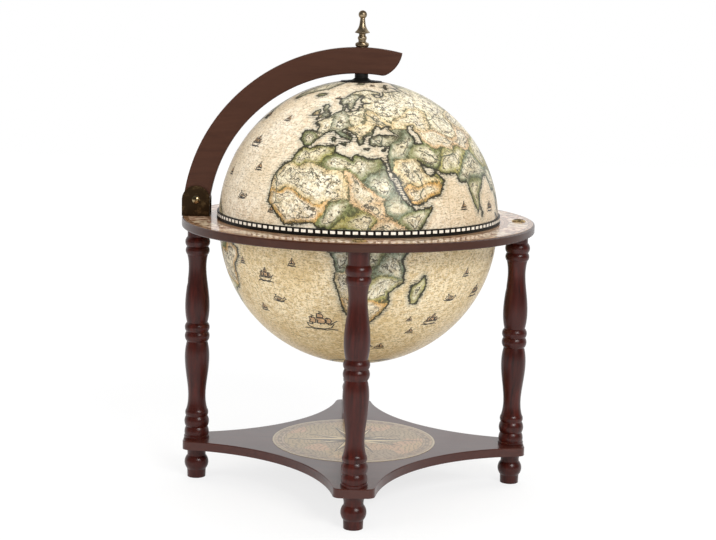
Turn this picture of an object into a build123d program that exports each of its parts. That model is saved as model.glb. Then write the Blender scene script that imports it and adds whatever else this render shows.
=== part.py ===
"""Tabletop globe bar: a turned four-legged stand that carries a globe whose upper half opens.

Frame: millimetres, +Z up, origin on the table under the globe's axis. The legs stand on the X and Y
axes, the front leg at -Y, and the arm is hinged over the left leg, at -X.
"""

import os
from math import cos, radians, sin, sqrt

from build123d import *

# Stand
LEG_CIRCLE_R = 190.0  # from the globe's axis to each leg's axis
SHELF_BOTTOM = 38.0
SHELF_TOP = 48.4
SHELF_FACET_DISTANCE = 205.5
SHELF_FACET_WIDTH = 44.7
SHELF_WAIST_R = 115.0  # the least distance from the axis to a hollow side
SHELF_CORNER_R = 9.0
SHELF_CHAMFER = 0.8
SHELF_PRINT_R = 98.0
PAPER = 0.3  # thickness of the printed sheets
RING_BOTTOM = 309.1
RING_TOP = 318.9
RING_OUTER_R = 208.0
RING_INNER_R = 164.6
RING_EDGE_R = 1.5
RING_PRINT_MARGIN = 2.2  # from the printed band to the ring's edge
STUD_R = 4.0
STUD_IN_FOOT = 20.0
STUD_IN_LEG = 30.0
LEG_SCREW_R = 2.5
LEG_SCREW_HEAD_R = 4.5
LEG_SCREW_BORE = 32.0
LEG_SCREW_POINT = 31.0  # from the ring's underside to the screw's point
LEG_SCREW_POINT_LENGTH = 3.0
CAP_R = 8.2
CAP_HEIGHT = 2.5
CAP_WALL = 0.6
CAP_DISH_R = 2.6
CAP_DISH_Z = 1.7

# Globe, lower half
BOWL_CENTRE_Z = 311.2
BOWL_R = 164.0
WALL = 3.5
LIP_R = 167.0
LIP_TOP = 321.3
COLLAR_INNER_R = 155.8
LEDGE_INNER_R = 151.0
LEDGE_BOTTOM = 296.5
LEDGE_TOP = 299.5
RACK_THICKNESS = 6.0
BOTTLE_HOLE_R = 44.0
GLASS_HOLE_R = 35.0
GLASS_CIRCLE_R = 92.0
GLASS_FLOOR_BOTTOM = 214.0
BOTTLE_SEAT_BOTTOM = 163.0
RACK_EDGE_R = 0.6
BOARD_CLEARANCE = 0.2
SHELL_CLEARANCE = 0.1
RACK_SCREW_CIRCLE_R = 152.9
RACK_SCREW_R = 1.2
RACK_SCREW_HEAD_R = 1.9
RACK_SCREW_HEAD_HEIGHT = 1.1

# Globe, upper half
DOME_CENTRE_Z = 316.9
DOME_R = 165.0
TRIM_BOTTOM = 321.7
TRIM_TOP = 327.5
TRIM_R = 166.9
UPSTAND = 8.0  # height of the trim's inner wall above its band
POLE_FLAT_Z = 479.8
POLE_CAP_R = 24.0
POLE_CAP_THICKNESS = 1.2
HUB_R = 12.0
HUB_BELOW_SHELL = 4.5
HUB_FLARE_R = 16.2
HUB_NECK_R = 8.0
HUB_RING_R = 20.0
HUB_RING_THICKNESS = 3.0
SPINDLE_R = 3.0
SPINDLE_WASHER_R = 9.0
SPINDLE_WASHER_THICKNESS = 1.5
SPINDLE_NUT_R = 5.8
SPINDLE_NUT_THICKNESS = 5.0
SPINDLE_PAST_WASHER = 7.5
RUNNING_CLEARANCE = 0.06
END_GAP = 0.3

# Arm, a quarter-meridian board in the XZ plane
ARM_CENTRE = (-2.0, 314.0)
ARM_OUTER_R = 206.0
ARM_INNER_R = 175.6
ARM_THICKNESS = 18.0
ARM_TIP_TOP_X = 47.0
ARM_TIP_LOW_X = 26.0
ARM_TIP_MID = (40.3, 498.2)
ARM_TIP_R = 10.0
ARM_CHAMFER = 1.0
ARM_SEAT_R = 8.5  # flats for the finial and the spacer
ARM_SEAT_CUT = 10.0
PIVOT_X = -191.5
PIVOT_Z = 338.5
PIVOT_R = 3.0
BUSH_R = 4.5
FINIAL_BASE = 519.5
BALL_R = 4.9
BALL_Z = 557.5
BALL_NECK_R = 2.8
BALL_LOW = BALL_Z - sqrt(BALL_R**2 - BALL_NECK_R**2)
SPINDLE_TOP = 525.0
SPACER_R = 7.9
SPACER_TOP = 489.8
SPACER_BOTTOM = 484.8

# Bracket
SHEET = 2.0
EAR_R = 16.5
WASHER = 0.6
WASHER_R = 11.0
BOLT_HEAD_R = 5.0
BOLT_HEAD_HEIGHT = 2.6
BOLT_END = 3.5  # length of the bolt inside its cap nut
NUT_R = 5.6
NUT_THICKNESS = 4.6
NUT_EDGE_R = 0.8
BRACKET_SCREW_OFFSET = 11.5
BRACKET_SCREW_R = 1.7
BRACKET_SCREW_HOLE_R = 1.75
BRACKET_SCREW_LENGTH = 9.0
BRACKET_SCREW_HEAD_R = 3.4
BRACKET_SCREW_HEAD_HEIGHT = 1.2
RING_PILOT_DEPTH = 7.5
EAR_INNER_Y = ARM_THICKNESS / 2 + END_GAP + WASHER
BRACKET_SCREW_X = (PIVOT_X - BRACKET_SCREW_OFFSET, PIVOT_X + BRACKET_SCREW_OFFSET)

SIDES = {"right": 0, "back": 90, "left": 180, "front": 270}

LEG_BASE_R = 15.2
LEG_TOP_R = 12.0
FOOT_END_R = 10.9
FOOT_TOP_R = 14.3
FINIAL_BASE_R = 6.4

# Turned outlines as (radius, height), each stretch a straight line, an arc or a smooth curve.
LEG_OUTLINE = (
    ("line", ((LEG_BASE_R, SHELF_TOP), (LEG_BASE_R, 51.2))),
    ("line", ((LEG_BASE_R, 51.2), (14.3, 52.0))),
    ("arc", ((14.3, 52.0), (14.65, 57.0), (13.0, 62.3))),
    ("arc", ((13.0, 62.3), (14.8, 68.3), (12.85, 75.6))),
    ("arc", ((12.85, 75.6), (13.95, 79.9), (12.6, 84.0))),
    ("curve", ((12.6, 84.0), (10.45, 99.0), (12.1, 120.0), (14.7, 147.5), (12.35, 166.9))),
    ("arc", ((12.35, 166.9), (14.85, 173.7), (13.1, 179.0))),
    ("arc", ((13.1, 179.0), (14.85, 183.5), (12.3, 190.1))),
    ("curve", ((12.3, 190.1), (14.55, 207.5), (13.1, 230.0), (10.5, 257.0), (12.3, 272.0))),
    ("arc", ((12.3, 272.0), (14.25, 276.8), (12.6, 281.6))),
    ("arc", ((12.6, 281.6), (14.7, 288.2), (LEG_TOP_R, 293.6))),
    ("line", ((LEG_TOP_R, 293.6), (LEG_TOP_R, RING_BOTTOM))),
)
FOOT_OUTLINE = (
    ("line", ((FOOT_END_R, 0.0), (11.3, 9.8))),
    ("line", ((11.3, 9.8), (11.9, 10.6))),
    ("arc", ((11.9, 10.6), (14.4, 18.6), (11.2, 26.6))),
    ("arc", ((11.2, 26.6), (11.5, 32.6), (FOOT_TOP_R, SHELF_BOTTOM))),
)
FINIAL_OUTLINE = (
    ("line", ((FINIAL_BASE_R, FINIAL_BASE), (FINIAL_BASE_R, 520.2))),
    ("arc", ((FINIAL_BASE_R, 520.2), (7.6, 521.4), (7.9, 523.6))),
    ("line", ((7.9, 523.6), (7.6, 524.7))),
    ("line", ((7.6, 524.7), (4.5, 526.2))),
    ("line", ((4.5, 526.2), (4.5, 528.3))),
    ("arc", ((4.5, 528.3), (5.25, 530.5), (4.4, 532.7))),
    ("arc", ((4.4, 532.7), (3.8, 534.0), (4.2, 535.4))),
    ("line", ((4.2, 535.4), (8.6, 536.6))),
    ("line", ((8.6, 536.6), (8.6, 537.4))),
    ("curve", ((8.6, 537.4), (6.2, 540.0), (4.35, 543.6), (3.35, 548.4), (BALL_NECK_R, BALL_LOW))),
    ("arc", ((BALL_NECK_R, BALL_LOW), (BALL_R, BALL_Z), (0.0, BALL_Z + BALL_R))),
)

os.makedirs("parts", exist_ok=True)


def draw(stretches):
    """Draw an outline's stretches in the current line builder."""
    shapes = {"line": Line, "arc": ThreePointArc, "curve": Spline}
    for kind, points in stretches:
        shapes[kind](*points)


def on_circle(radius, degrees, centre=(0.0, 0.0)):
    """Return the point of a circle at an angle."""
    return centre[0] + radius * cos(radians(degrees)), centre[1] + radius * sin(radians(degrees))


def leg_places(sides=SIDES):
    """Return the leg axes' points in the XY plane for some sides."""
    return [on_circle(LEG_CIRCLE_R, SIDES[side]) for side in sides]


def height_on(radius, centre, x):
    """Return the height of a circle in the XZ plane, above its centre, at x."""
    return centre[1] + sqrt(radius**2 - (x - centre[0]) ** 2)


def width_at(radius, centre_z, z):
    """Return the radius of a sphere's section at a height."""
    return sqrt(radius**2 - (z - centre_z) ** 2)


def dome_arc(radius, height):
    """Return three points of a low dome's outline, from its rim to its top, about its centre line."""
    ball_r = (radius**2 + height**2) / (2 * height)
    half_x = radius / 2
    return (radius, 0), (half_x, height - ball_r + sqrt(ball_r**2 - half_x**2)), (0, height)


def save(piece, name):
    """Label a finished piece and write its STEP file."""
    piece.part.label = name
    export_step(piece.part, f"parts/{name}.step")


# Feet and legs, turned, with the holes that take the studs and the ring's screws
for side in SIDES:
    x, y = leg_places([side])[0]
    upright = Plane(origin=(x, y, 0), x_dir=(1, 0, 0), z_dir=(0, -1, 0))
    with BuildPart() as foot:
        with BuildSketch(upright):
            with BuildLine():
                draw(FOOT_OUTLINE)
                Polyline((FOOT_TOP_R, SHELF_BOTTOM), (0, SHELF_BOTTOM), (0, 0), (FOOT_END_R, 0))
            make_face()
        revolve(axis=Axis((x, y, 0), (0, 0, 1)))
        with BuildSketch(Plane.XY.offset(SHELF_BOTTOM)):
            with Locations((x, y)):
                Circle(STUD_R)
        extrude(amount=-STUD_IN_FOOT, mode=Mode.SUBTRACT)
    save(foot, f"foot_{side}")

    with BuildPart() as leg:
        with BuildSketch(upright):
            with BuildLine():
                draw(LEG_OUTLINE)
                Polyline((LEG_TOP_R, RING_BOTTOM), (0, RING_BOTTOM), (0, SHELF_TOP), (LEG_BASE_R, SHELF_TOP))
            make_face()
        revolve(axis=Axis((x, y, 0), (0, 0, 1)))
        with BuildSketch(Plane.XY.offset(SHELF_TOP)):
            with Locations((x, y)):
                Circle(STUD_R)
        extrude(amount=STUD_IN_LEG, mode=Mode.SUBTRACT)
        with BuildSketch(Plane.XY.offset(RING_BOTTOM)):
            with Locations((x, y)):
                Circle(LEG_SCREW_R)
        extrude(amount=-LEG_SCREW_BORE, mode=Mode.SUBTRACT)
    save(leg, f"leg_{side}")

with BuildPart() as leg_studs:
    with BuildSketch(Plane.XY.offset(SHELF_BOTTOM - STUD_IN_FOOT)):
        with Locations(*leg_places()):
            Circle(STUD_R)
    extrude(amount=STUD_IN_FOOT + SHELF_TOP - SHELF_BOTTOM + STUD_IN_LEG)
save(leg_studs, "leg_studs")

# Shelf, a board with four flat ends and four hollow sides
half = SHELF_FACET_WIDTH / 2
with BuildPart() as shelf:
    with BuildSketch(Plane.XY.offset(SHELF_BOTTOM)) as shelf_outline:
        with BuildLine():
            for quarter in range(4):
                turn = Rotation(0, 0, 90 * quarter)
                end = [(SHELF_FACET_DISTANCE, -half), (SHELF_FACET_DISTANCE, half)]
                waist = on_circle(SHELF_WAIST_R, 45)
                hollow = [(SHELF_FACET_DISTANCE, half), waist, (half, SHELF_FACET_DISTANCE)]
                add(turn * Line(*end, mode=Mode.PRIVATE))
                add(turn * ThreePointArc(*hollow, mode=Mode.PRIVATE))
        make_face()
        fillet(shelf_outline.vertices(), SHELF_CORNER_R)
    extrude(amount=SHELF_TOP - SHELF_BOTTOM)
    rims = shelf.edges().filter_by_position(Axis.Z, SHELF_TOP - 0.01, SHELF_TOP + 0.01)
    chamfer(rims, SHELF_CHAMFER)
    with BuildSketch(Plane.XY.offset(SHELF_BOTTOM)):
        with Locations(*leg_places()):
            Circle(STUD_R)
    extrude(amount=SHELF_TOP - SHELF_BOTTOM, mode=Mode.SUBTRACT)
save(shelf, "shelf")

with BuildPart() as shelf_print:
    with BuildSketch(Plane.XY.offset(SHELF_TOP)):
        Circle(SHELF_PRINT_R)
    extrude(amount=PAPER)
save(shelf_print, "shelf_print")

# Ring and the printed band on it
with BuildPart() as ring:
    with BuildSketch(Plane.XY.offset(RING_BOTTOM)):
        Circle(RING_OUTER_R)
        Circle(RING_INNER_R, mode=Mode.SUBTRACT)
    extrude(amount=RING_TOP - RING_BOTTOM)
    rims = ring.edges().filter_by(GeomType.CIRCLE).sort_by(SortBy.RADIUS)[-2:]
    fillet(rims, RING_EDGE_R)
    with Locations(*[(x, y, RING_TOP) for x, y in leg_places()]):
        CounterSinkHole(LEG_SCREW_R, LEG_SCREW_HEAD_R, depth=RING_TOP - RING_BOTTOM)
    with Locations(*[(x, 0, RING_TOP) for x in BRACKET_SCREW_X]):
        Hole(BRACKET_SCREW_HOLE_R, depth=RING_PILOT_DEPTH)
save(ring, "ring")

with BuildPart() as ring_print:
    with BuildSketch(Plane.XY.offset(RING_TOP)):
        Circle(RING_OUTER_R - RING_PRINT_MARGIN)
        Circle(LIP_R + 0.4, mode=Mode.SUBTRACT)
        with Locations(*leg_places()):
            Circle(LEG_SCREW_HEAD_R, mode=Mode.SUBTRACT)
        with Locations(*[(x, 0) for x in BRACKET_SCREW_X]):
            Circle(BRACKET_SCREW_HOLE_R, mode=Mode.SUBTRACT)
    extrude(amount=PAPER)
save(ring_print, "ring_print")

with BuildPart() as leg_screws:
    for x, y in leg_places():
        with BuildSketch(Plane(origin=(x, y, 0), x_dir=(1, 0, 0), z_dir=(0, -1, 0))):
            shank_r = LEG_SCREW_R - RUNNING_CLEARANCE
            Polygon(
                (0, RING_TOP),
                (LEG_SCREW_HEAD_R - RUNNING_CLEARANCE, RING_TOP),
                (shank_r, RING_TOP - LEG_SCREW_HEAD_R + LEG_SCREW_R),
                (shank_r, RING_BOTTOM - LEG_SCREW_POINT + LEG_SCREW_POINT_LENGTH),
                (0, RING_BOTTOM - LEG_SCREW_POINT),
                align=None,
            )
        revolve(axis=Axis((x, y, 0), (0, 0, 1)))
save(leg_screws, "leg_screws")

with BuildPart() as ring_caps:
    base = RING_TOP + PAPER
    for x, y in leg_places(["right", "back", "front"]):
        with BuildSketch(Plane(origin=(x, y, 0), x_dir=(1, 0, 0), z_dir=(0, -1, 0))):
            with BuildLine():
                Line((0, base), (CAP_R, base))
                Line((CAP_R, base), (CAP_R, base + CAP_WALL))
                ThreePointArc((CAP_R, base + CAP_WALL), (6.1, base + 2.0), (3.4, base + CAP_HEIGHT))
                dish = base + CAP_DISH_Z
                Polyline((3.4, base + CAP_HEIGHT), (CAP_DISH_R, dish), (0, dish), (0, base))
            make_face()
        revolve(axis=Axis((x, y, 0), (0, 0, 1)))
save(ring_caps, "ring_caps")

# Bowl, the globe's lower half, hung in the ring by its collar
bowl_inner_r = BOWL_R - WALL
rim_outer = width_at(BOWL_R, BOWL_CENTRE_Z, RING_TOP)
rim_inner = width_at(bowl_inner_r, BOWL_CENTRE_Z, RING_TOP)
with BuildPart() as bowl_shell:
    with BuildSketch(Plane.XZ):
        with BuildLine():
            low = (0, BOWL_CENTRE_Z - BOWL_R)
            ThreePointArc((rim_outer, RING_TOP), on_circle(BOWL_R, -40, (0, BOWL_CENTRE_Z)), low)
            Line(low, (0, BOWL_CENTRE_Z - bowl_inner_r))
            ThreePointArc(
                (0, BOWL_CENTRE_Z - bowl_inner_r),
                on_circle(bowl_inner_r, -40, (0, BOWL_CENTRE_Z)),
                (rim_inner, RING_TOP),
            )
            Line((rim_inner, RING_TOP), (rim_outer, RING_TOP))
        make_face()
    revolve(axis=Axis.Z)
save(bowl_shell, "bowl_shell")

skirt_r = width_at(bowl_inner_r, BOWL_CENTRE_Z, LEDGE_BOTTOM) - SHELL_CLEARANCE
rack_screw_places = [on_circle(RACK_SCREW_CIRCLE_R, angle) for angle in range(0, 360, 90)]
with BuildPart() as bowl_collar:
    with BuildSketch(Plane.XZ):
        Polygon(
            (LIP_R, RING_TOP),
            (LIP_R, LIP_TOP),
            (COLLAR_INNER_R, LIP_TOP),
            (COLLAR_INNER_R, LEDGE_TOP),
            (LEDGE_INNER_R, LEDGE_TOP),
            (LEDGE_INNER_R, LEDGE_BOTTOM),
            (skirt_r, LEDGE_BOTTOM),
            (skirt_r, RING_TOP),
            align=None,
        )
    revolve(axis=Axis.Z)
    with Locations(*[(x, y, LEDGE_TOP) for x, y in rack_screw_places]):
        Hole(RACK_SCREW_R)
save(bowl_collar, "bowl_collar")

with BuildPart() as rack_plate:
    with BuildSketch(Plane.XY.offset(LEDGE_TOP)):
        Circle(COLLAR_INNER_R - BOARD_CLEARANCE)
        Circle(BOTTLE_HOLE_R, mode=Mode.SUBTRACT)
        with PolarLocations(GLASS_CIRCLE_R, 4, start_angle=45):
            Circle(GLASS_HOLE_R, mode=Mode.SUBTRACT)
    extrude(amount=RACK_THICKNESS)
    fillet(rack_plate.edges().group_by(Axis.Z)[-1].filter_by(GeomType.CIRCLE), RACK_EDGE_R)
    with Locations(*[(x, y, LEDGE_TOP + RACK_THICKNESS) for x, y in rack_screw_places]):
        Hole(RACK_SCREW_R, depth=RACK_THICKNESS)
save(rack_plate, "rack_plate")

rack_top = LEDGE_TOP + RACK_THICKNESS
with BuildPart() as rack_screws:
    for x, y in rack_screw_places:
        with BuildSketch(Plane(origin=(x, y, 0), x_dir=(1, 0, 0), z_dir=(0, -1, 0))):
            with BuildLine():
                head = dome_arc(RACK_SCREW_HEAD_R, RACK_SCREW_HEAD_HEIGHT)
                ThreePointArc(*[(r, rack_top + h) for r, h in head])
                head_top = (0, rack_top + RACK_SCREW_HEAD_HEIGHT)
                Polyline(head_top, (0, rack_top), (RACK_SCREW_HEAD_R, rack_top))
            make_face()
        revolve(axis=Axis((x, y, 0), (0, 0, 1)))
        with BuildSketch(Plane.XY.offset(rack_top)):
            with Locations((x, y)):
                Circle(RACK_SCREW_R)
        extrude(amount=LEDGE_BOTTOM - rack_top)
save(rack_screws, "rack_screws")

with BuildPart() as glass_floor:
    with BuildSketch(Plane.XY.offset(GLASS_FLOOR_BOTTOM)):
        Circle(width_at(bowl_inner_r, BOWL_CENTRE_Z, GLASS_FLOOR_BOTTOM) - BOARD_CLEARANCE)
        Circle(BOTTLE_HOLE_R + 1, mode=Mode.SUBTRACT)
    extrude(amount=RACK_THICKNESS)
save(glass_floor, "glass_floor")

with BuildPart() as bottle_seat:
    with BuildSketch(Plane.XY.offset(BOTTLE_SEAT_BOTTOM)):
        Circle(width_at(bowl_inner_r, BOWL_CENTRE_Z, BOTTLE_SEAT_BOTTOM) - BOARD_CLEARANCE)
    extrude(amount=RACK_THICKNESS)
save(bottle_seat, "bottle_seat")

# Dome, the globe's upper half, with its trim band and the fittings at the pole
dome_inner_r = DOME_R - WALL
shell_low_r = width_at(DOME_R, DOME_CENTRE_Z, TRIM_TOP)
shell_low_inner_r = width_at(dome_inner_r, DOME_CENTRE_Z, TRIM_TOP)
flat_r = width_at(DOME_R, DOME_CENTRE_Z, POLE_FLAT_Z)
ceiling = POLE_FLAT_Z - WALL
ceiling_r = width_at(dome_inner_r, DOME_CENTRE_Z, ceiling)
with BuildPart() as dome_shell:
    with BuildSketch(Plane.XZ):
        with BuildLine():
            outer_mid = on_circle(DOME_R, 45, (0, DOME_CENTRE_Z))
            inner_mid = on_circle(dome_inner_r, 45, (0, DOME_CENTRE_Z))
            ThreePointArc((shell_low_r, TRIM_TOP), outer_mid, (flat_r, POLE_FLAT_Z))
            Polyline((flat_r, POLE_FLAT_Z), (HUB_R, POLE_FLAT_Z), (HUB_R, ceiling), (ceiling_r, ceiling))
            ThreePointArc((ceiling_r, ceiling), inner_mid, (shell_low_inner_r, TRIM_TOP))
            Line((shell_low_inner_r, TRIM_TOP), (shell_low_r, TRIM_TOP))
        make_face()
    revolve(axis=Axis.Z)
save(dome_shell, "dome_shell")

upstand_r = width_at(dome_inner_r, DOME_CENTRE_Z, TRIM_TOP + UPSTAND) - SHELL_CLEARANCE
with BuildPart() as dome_trim:
    with BuildSketch(Plane.XZ):
        Polygon(
            (upstand_r - WALL, TRIM_BOTTOM),
            (TRIM_R, TRIM_BOTTOM),
            (TRIM_R, TRIM_TOP),
            (upstand_r, TRIM_TOP),
            (upstand_r, TRIM_TOP + UPSTAND),
            (upstand_r - WALL, TRIM_TOP + UPSTAND),
            align=None,
        )
    revolve(axis=Axis.Z)
save(dome_trim, "dome_trim")

cap_top = POLE_FLAT_Z + POLE_CAP_THICKNESS
hub_bottom = ceiling - HUB_BELOW_SHELL
with BuildPart() as pole_cap:
    with BuildSketch(Plane.XY.offset(POLE_FLAT_Z)):
        Circle(POLE_CAP_R)
        Circle(HUB_R, mode=Mode.SUBTRACT)
    extrude(amount=POLE_CAP_THICKNESS)
save(pole_cap, "pole_cap")

with BuildPart() as pole_hub:
    bore_r = SPINDLE_R + RUNNING_CLEARANCE
    hub_top = SPACER_BOTTOM - END_GAP
    with BuildSketch(Plane.XZ):
        with BuildLine():
            flare = (HUB_FLARE_R, cap_top + 0.7)
            Polyline((bore_r, hub_bottom), (HUB_R, hub_bottom), (HUB_R, cap_top), (HUB_FLARE_R, cap_top))
            Line((HUB_FLARE_R, cap_top), flare)
            ThreePointArc(flare, (10.6, cap_top + 1.6), (HUB_NECK_R, hub_top))
            Polyline((HUB_NECK_R, hub_top), (bore_r, hub_top), (bore_r, hub_bottom))
        make_face()
    revolve(axis=Axis.Z)
save(pole_hub, "pole_hub")

with BuildPart() as hub_ring:
    with BuildSketch(Plane.XY.offset(ceiling)):
        Circle(HUB_RING_R)
        Circle(HUB_R, mode=Mode.SUBTRACT)
    extrude(amount=-HUB_RING_THICKNESS)
save(hub_ring, "hub_ring")

# Arm, with the spindle that the dome turns on and the finial on top
with BuildPart() as meridian_arm:
    with BuildSketch(Plane.XZ):
        with BuildLine():
            heel_z = PIVOT_Z - ARM_CENTRE[1]
            heel_outer = (ARM_CENTRE[0] - sqrt(ARM_OUTER_R**2 - heel_z**2), PIVOT_Z)
            heel_inner = (ARM_CENTRE[0] - sqrt(ARM_INNER_R**2 - heel_z**2), PIVOT_Z)
            heel_low = ((heel_outer[0] + heel_inner[0]) / 2, PIVOT_Z - (heel_inner[0] - heel_outer[0]) / 2)
            tip_top = (ARM_TIP_TOP_X, height_on(ARM_OUTER_R, ARM_CENTRE, ARM_TIP_TOP_X))
            tip_low = (ARM_TIP_LOW_X, height_on(ARM_INNER_R, ARM_CENTRE, ARM_TIP_LOW_X))
            ThreePointArc(heel_outer, on_circle(ARM_OUTER_R, 130, ARM_CENTRE), tip_top)
            ThreePointArc(tip_top, ARM_TIP_MID, tip_low)
            ThreePointArc(tip_low, on_circle(ARM_INNER_R, 130, ARM_CENTRE), heel_inner)
            ThreePointArc(heel_inner, heel_low, heel_outer)
        make_face()
    extrude(amount=ARM_THICKNESS / 2, both=True)
    fillet(meridian_arm.edges().filter_by(Axis.Y).sort_by(Axis.X)[-2:-1], ARM_TIP_R)
    long_edges = meridian_arm.edges().filter_by(GeomType.CIRCLE).sort_by(Edge.length)[-4:]
    chamfer(long_edges, ARM_CHAMFER)
    with BuildSketch(Plane.XZ.offset(ARM_THICKNESS / 2)):
        with Locations((PIVOT_X, PIVOT_Z)):
            Circle(BUSH_R)
    extrude(amount=-ARM_THICKNESS, mode=Mode.SUBTRACT)
    with BuildSketch(Plane.XY.offset(SPACER_TOP)):
        Circle(ARM_SEAT_R)
    extrude(amount=-ARM_SEAT_CUT, mode=Mode.SUBTRACT)
    with BuildSketch(Plane.XY.offset(FINIAL_BASE)):
        Circle(ARM_SEAT_R)
    extrude(amount=ARM_SEAT_CUT, mode=Mode.SUBTRACT)
    with BuildSketch(Plane.XY.offset(SPACER_TOP)):
        Circle(SPINDLE_R)
    extrude(amount=FINIAL_BASE - SPACER_TOP, mode=Mode.SUBTRACT)
save(meridian_arm, "meridian_arm")

with BuildPart() as pivot_bush:
    with BuildSketch(Plane.XZ.offset(ARM_THICKNESS / 2)):
        with Locations((PIVOT_X, PIVOT_Z)):
            Circle(BUSH_R)
            Circle(PIVOT_R + RUNNING_CLEARANCE, mode=Mode.SUBTRACT)
    extrude(amount=-ARM_THICKNESS)
save(pivot_bush, "pivot_bush")

with BuildPart() as finial:
    with BuildSketch(Plane.XZ):
        with BuildLine():
            draw(FINIAL_OUTLINE)
            Polyline((0, BALL_Z + BALL_R), (0, FINIAL_BASE), (FINIAL_BASE_R, FINIAL_BASE))
        make_face()
    revolve(axis=Axis.Z)
    with BuildSketch(Plane.XY.offset(FINIAL_BASE)):
        Circle(SPINDLE_R)
    extrude(amount=SPINDLE_TOP - FINIAL_BASE, mode=Mode.SUBTRACT)
save(finial, "finial")

washer_top = hub_bottom - END_GAP
nut_top = washer_top - SPINDLE_WASHER_THICKNESS
spindle_bottom = nut_top - SPINDLE_PAST_WASHER
with BuildPart() as spindle_bolt:
    with BuildSketch(Plane.XY.offset(spindle_bottom)):
        Circle(SPINDLE_R)
    extrude(amount=SPINDLE_TOP - spindle_bottom)
save(spindle_bolt, "spindle_bolt")

with BuildPart() as pole_spacer:
    with BuildSketch(Plane.XY.offset(SPACER_BOTTOM)):
        Circle(SPACER_R)
        Circle(SPINDLE_R, mode=Mode.SUBTRACT)
    extrude(amount=SPACER_TOP - SPACER_BOTTOM)
save(pole_spacer, "pole_spacer")

with BuildPart() as spindle_washer:
    with BuildSketch(Plane.XY.offset(nut_top)):
        Circle(SPINDLE_WASHER_R)
        Circle(SPINDLE_R, mode=Mode.SUBTRACT)
    extrude(amount=SPINDLE_WASHER_THICKNESS)
save(spindle_washer, "spindle_washer")

with BuildPart() as spindle_nut:
    with BuildSketch(Plane.XY.offset(nut_top)):
        RegularPolygon(SPINDLE_NUT_R, 6)
        Circle(SPINDLE_R, mode=Mode.SUBTRACT)
    extrude(amount=-SPINDLE_NUT_THICKNESS)
save(spindle_nut, "spindle_nut")

# Bracket on the ring over the left leg, with the bolt that the arm turns on
web_bottom = RING_TOP + PAPER
web_top = web_bottom + SHEET
with BuildPart() as bracket:
    for face in (-EAR_INNER_Y, EAR_INNER_Y + SHEET):
        with BuildSketch(Plane.XZ.offset(-face)):
            with BuildLine():
                left, right = PIVOT_X - EAR_R, PIVOT_X + EAR_R
                Polyline((left, PIVOT_Z), (left, web_bottom), (right, web_bottom), (right, PIVOT_Z))
                ThreePointArc((right, PIVOT_Z), (PIVOT_X, PIVOT_Z + EAR_R), (left, PIVOT_Z))
            make_face()
            with Locations((PIVOT_X, PIVOT_Z)):
                Circle(PIVOT_R, mode=Mode.SUBTRACT)
        extrude(amount=SHEET)
    with BuildSketch(Plane.XY.offset(web_bottom)):
        with Locations((PIVOT_X, 0)):
            Rectangle(2 * EAR_R, 2 * (EAR_INNER_Y + SHEET))
        with Locations(*[(x, 0) for x in BRACKET_SCREW_X]):
            Circle(BRACKET_SCREW_HOLE_R, mode=Mode.SUBTRACT)
    extrude(amount=SHEET)
save(bracket, "bracket")

with BuildPart() as bracket_screws:
    for x in BRACKET_SCREW_X:
        with BuildSketch(Plane(origin=(x, 0, 0), x_dir=(1, 0, 0), z_dir=(0, -1, 0))):
            with BuildLine():
                head = dome_arc(BRACKET_SCREW_HEAD_R, BRACKET_SCREW_HEAD_HEIGHT)
                ThreePointArc(*[(r, web_top + h) for r, h in head])
                head_top = (0, web_top + BRACKET_SCREW_HEAD_HEIGHT)
                Polyline(head_top, (0, web_top), (BRACKET_SCREW_HEAD_R, web_top))
            make_face()
        revolve(axis=Axis((x, 0, 0), (0, 0, 1)))
        with BuildSketch(Plane.XY.offset(web_top)):
            with Locations((x, 0)):
                Circle(BRACKET_SCREW_R)
        extrude(amount=-BRACKET_SCREW_LENGTH)
save(bracket_screws, "bracket_screws")

ear_outer_y = EAR_INNER_Y + SHEET
with BuildPart() as pivot_bolt:
    with BuildSketch(Plane.XZ.offset(ear_outer_y)):
        with Locations((PIVOT_X, PIVOT_Z)):
            Circle(PIVOT_R)
    extrude(amount=-(2 * ear_outer_y + BOLT_END))
    with BuildSketch(Plane(origin=(PIVOT_X, 0, PIVOT_Z), x_dir=(1, 0, 0), z_dir=(0, 0, 1))):
        with BuildLine():
            head = dome_arc(BOLT_HEAD_R, BOLT_HEAD_HEIGHT)
            ThreePointArc(*[(r, -ear_outer_y - h) for r, h in head])
            Polyline((0, -ear_outer_y - BOLT_HEAD_HEIGHT), (0, -ear_outer_y), (BOLT_HEAD_R, -ear_outer_y))
        make_face()
    revolve(axis=Axis((PIVOT_X, 0, PIVOT_Z), (0, 1, 0)))
save(pivot_bolt, "pivot_bolt")

with BuildPart() as pivot_nut:
    with BuildSketch(Plane.XZ.offset(-ear_outer_y)):
        with Locations((PIVOT_X, PIVOT_Z)):
            RegularPolygon(NUT_R, 6)
    extrude(amount=-NUT_THICKNESS)
    fillet(pivot_nut.edges().group_by(Axis.Y)[-1], NUT_EDGE_R)
    with BuildSketch(Plane.XZ.offset(-ear_outer_y)):
        with Locations((PIVOT_X, PIVOT_Z)):
            Circle(PIVOT_R)
    extrude(amount=-BOLT_END, mode=Mode.SUBTRACT)
save(pivot_nut, "pivot_nut")

with BuildPart() as pivot_washers:
    for face in (-EAR_INNER_Y, EAR_INNER_Y - WASHER):
        with BuildSketch(Plane.XZ.offset(-face)):
            with Locations((PIVOT_X, PIVOT_Z)):
                Circle(WASHER_R)
                Circle(PIVOT_R, mode=Mode.SUBTRACT)
        extrude(amount=-WASHER)
save(pivot_washers, "pivot_washers")
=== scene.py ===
"""The looks of a tabletop globe bar: turned legs, printed half globes, papers, brass and stain.

Lengths are metres. The globe's axis is +Z, the front leg stands at -Y and the arm hinges at -X.
"""

import logging
import math
from dataclasses import dataclass
from enum import Enum
from functools import cache

import bpy
import numpy as np
from mathutils import Matrix, Vector


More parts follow.
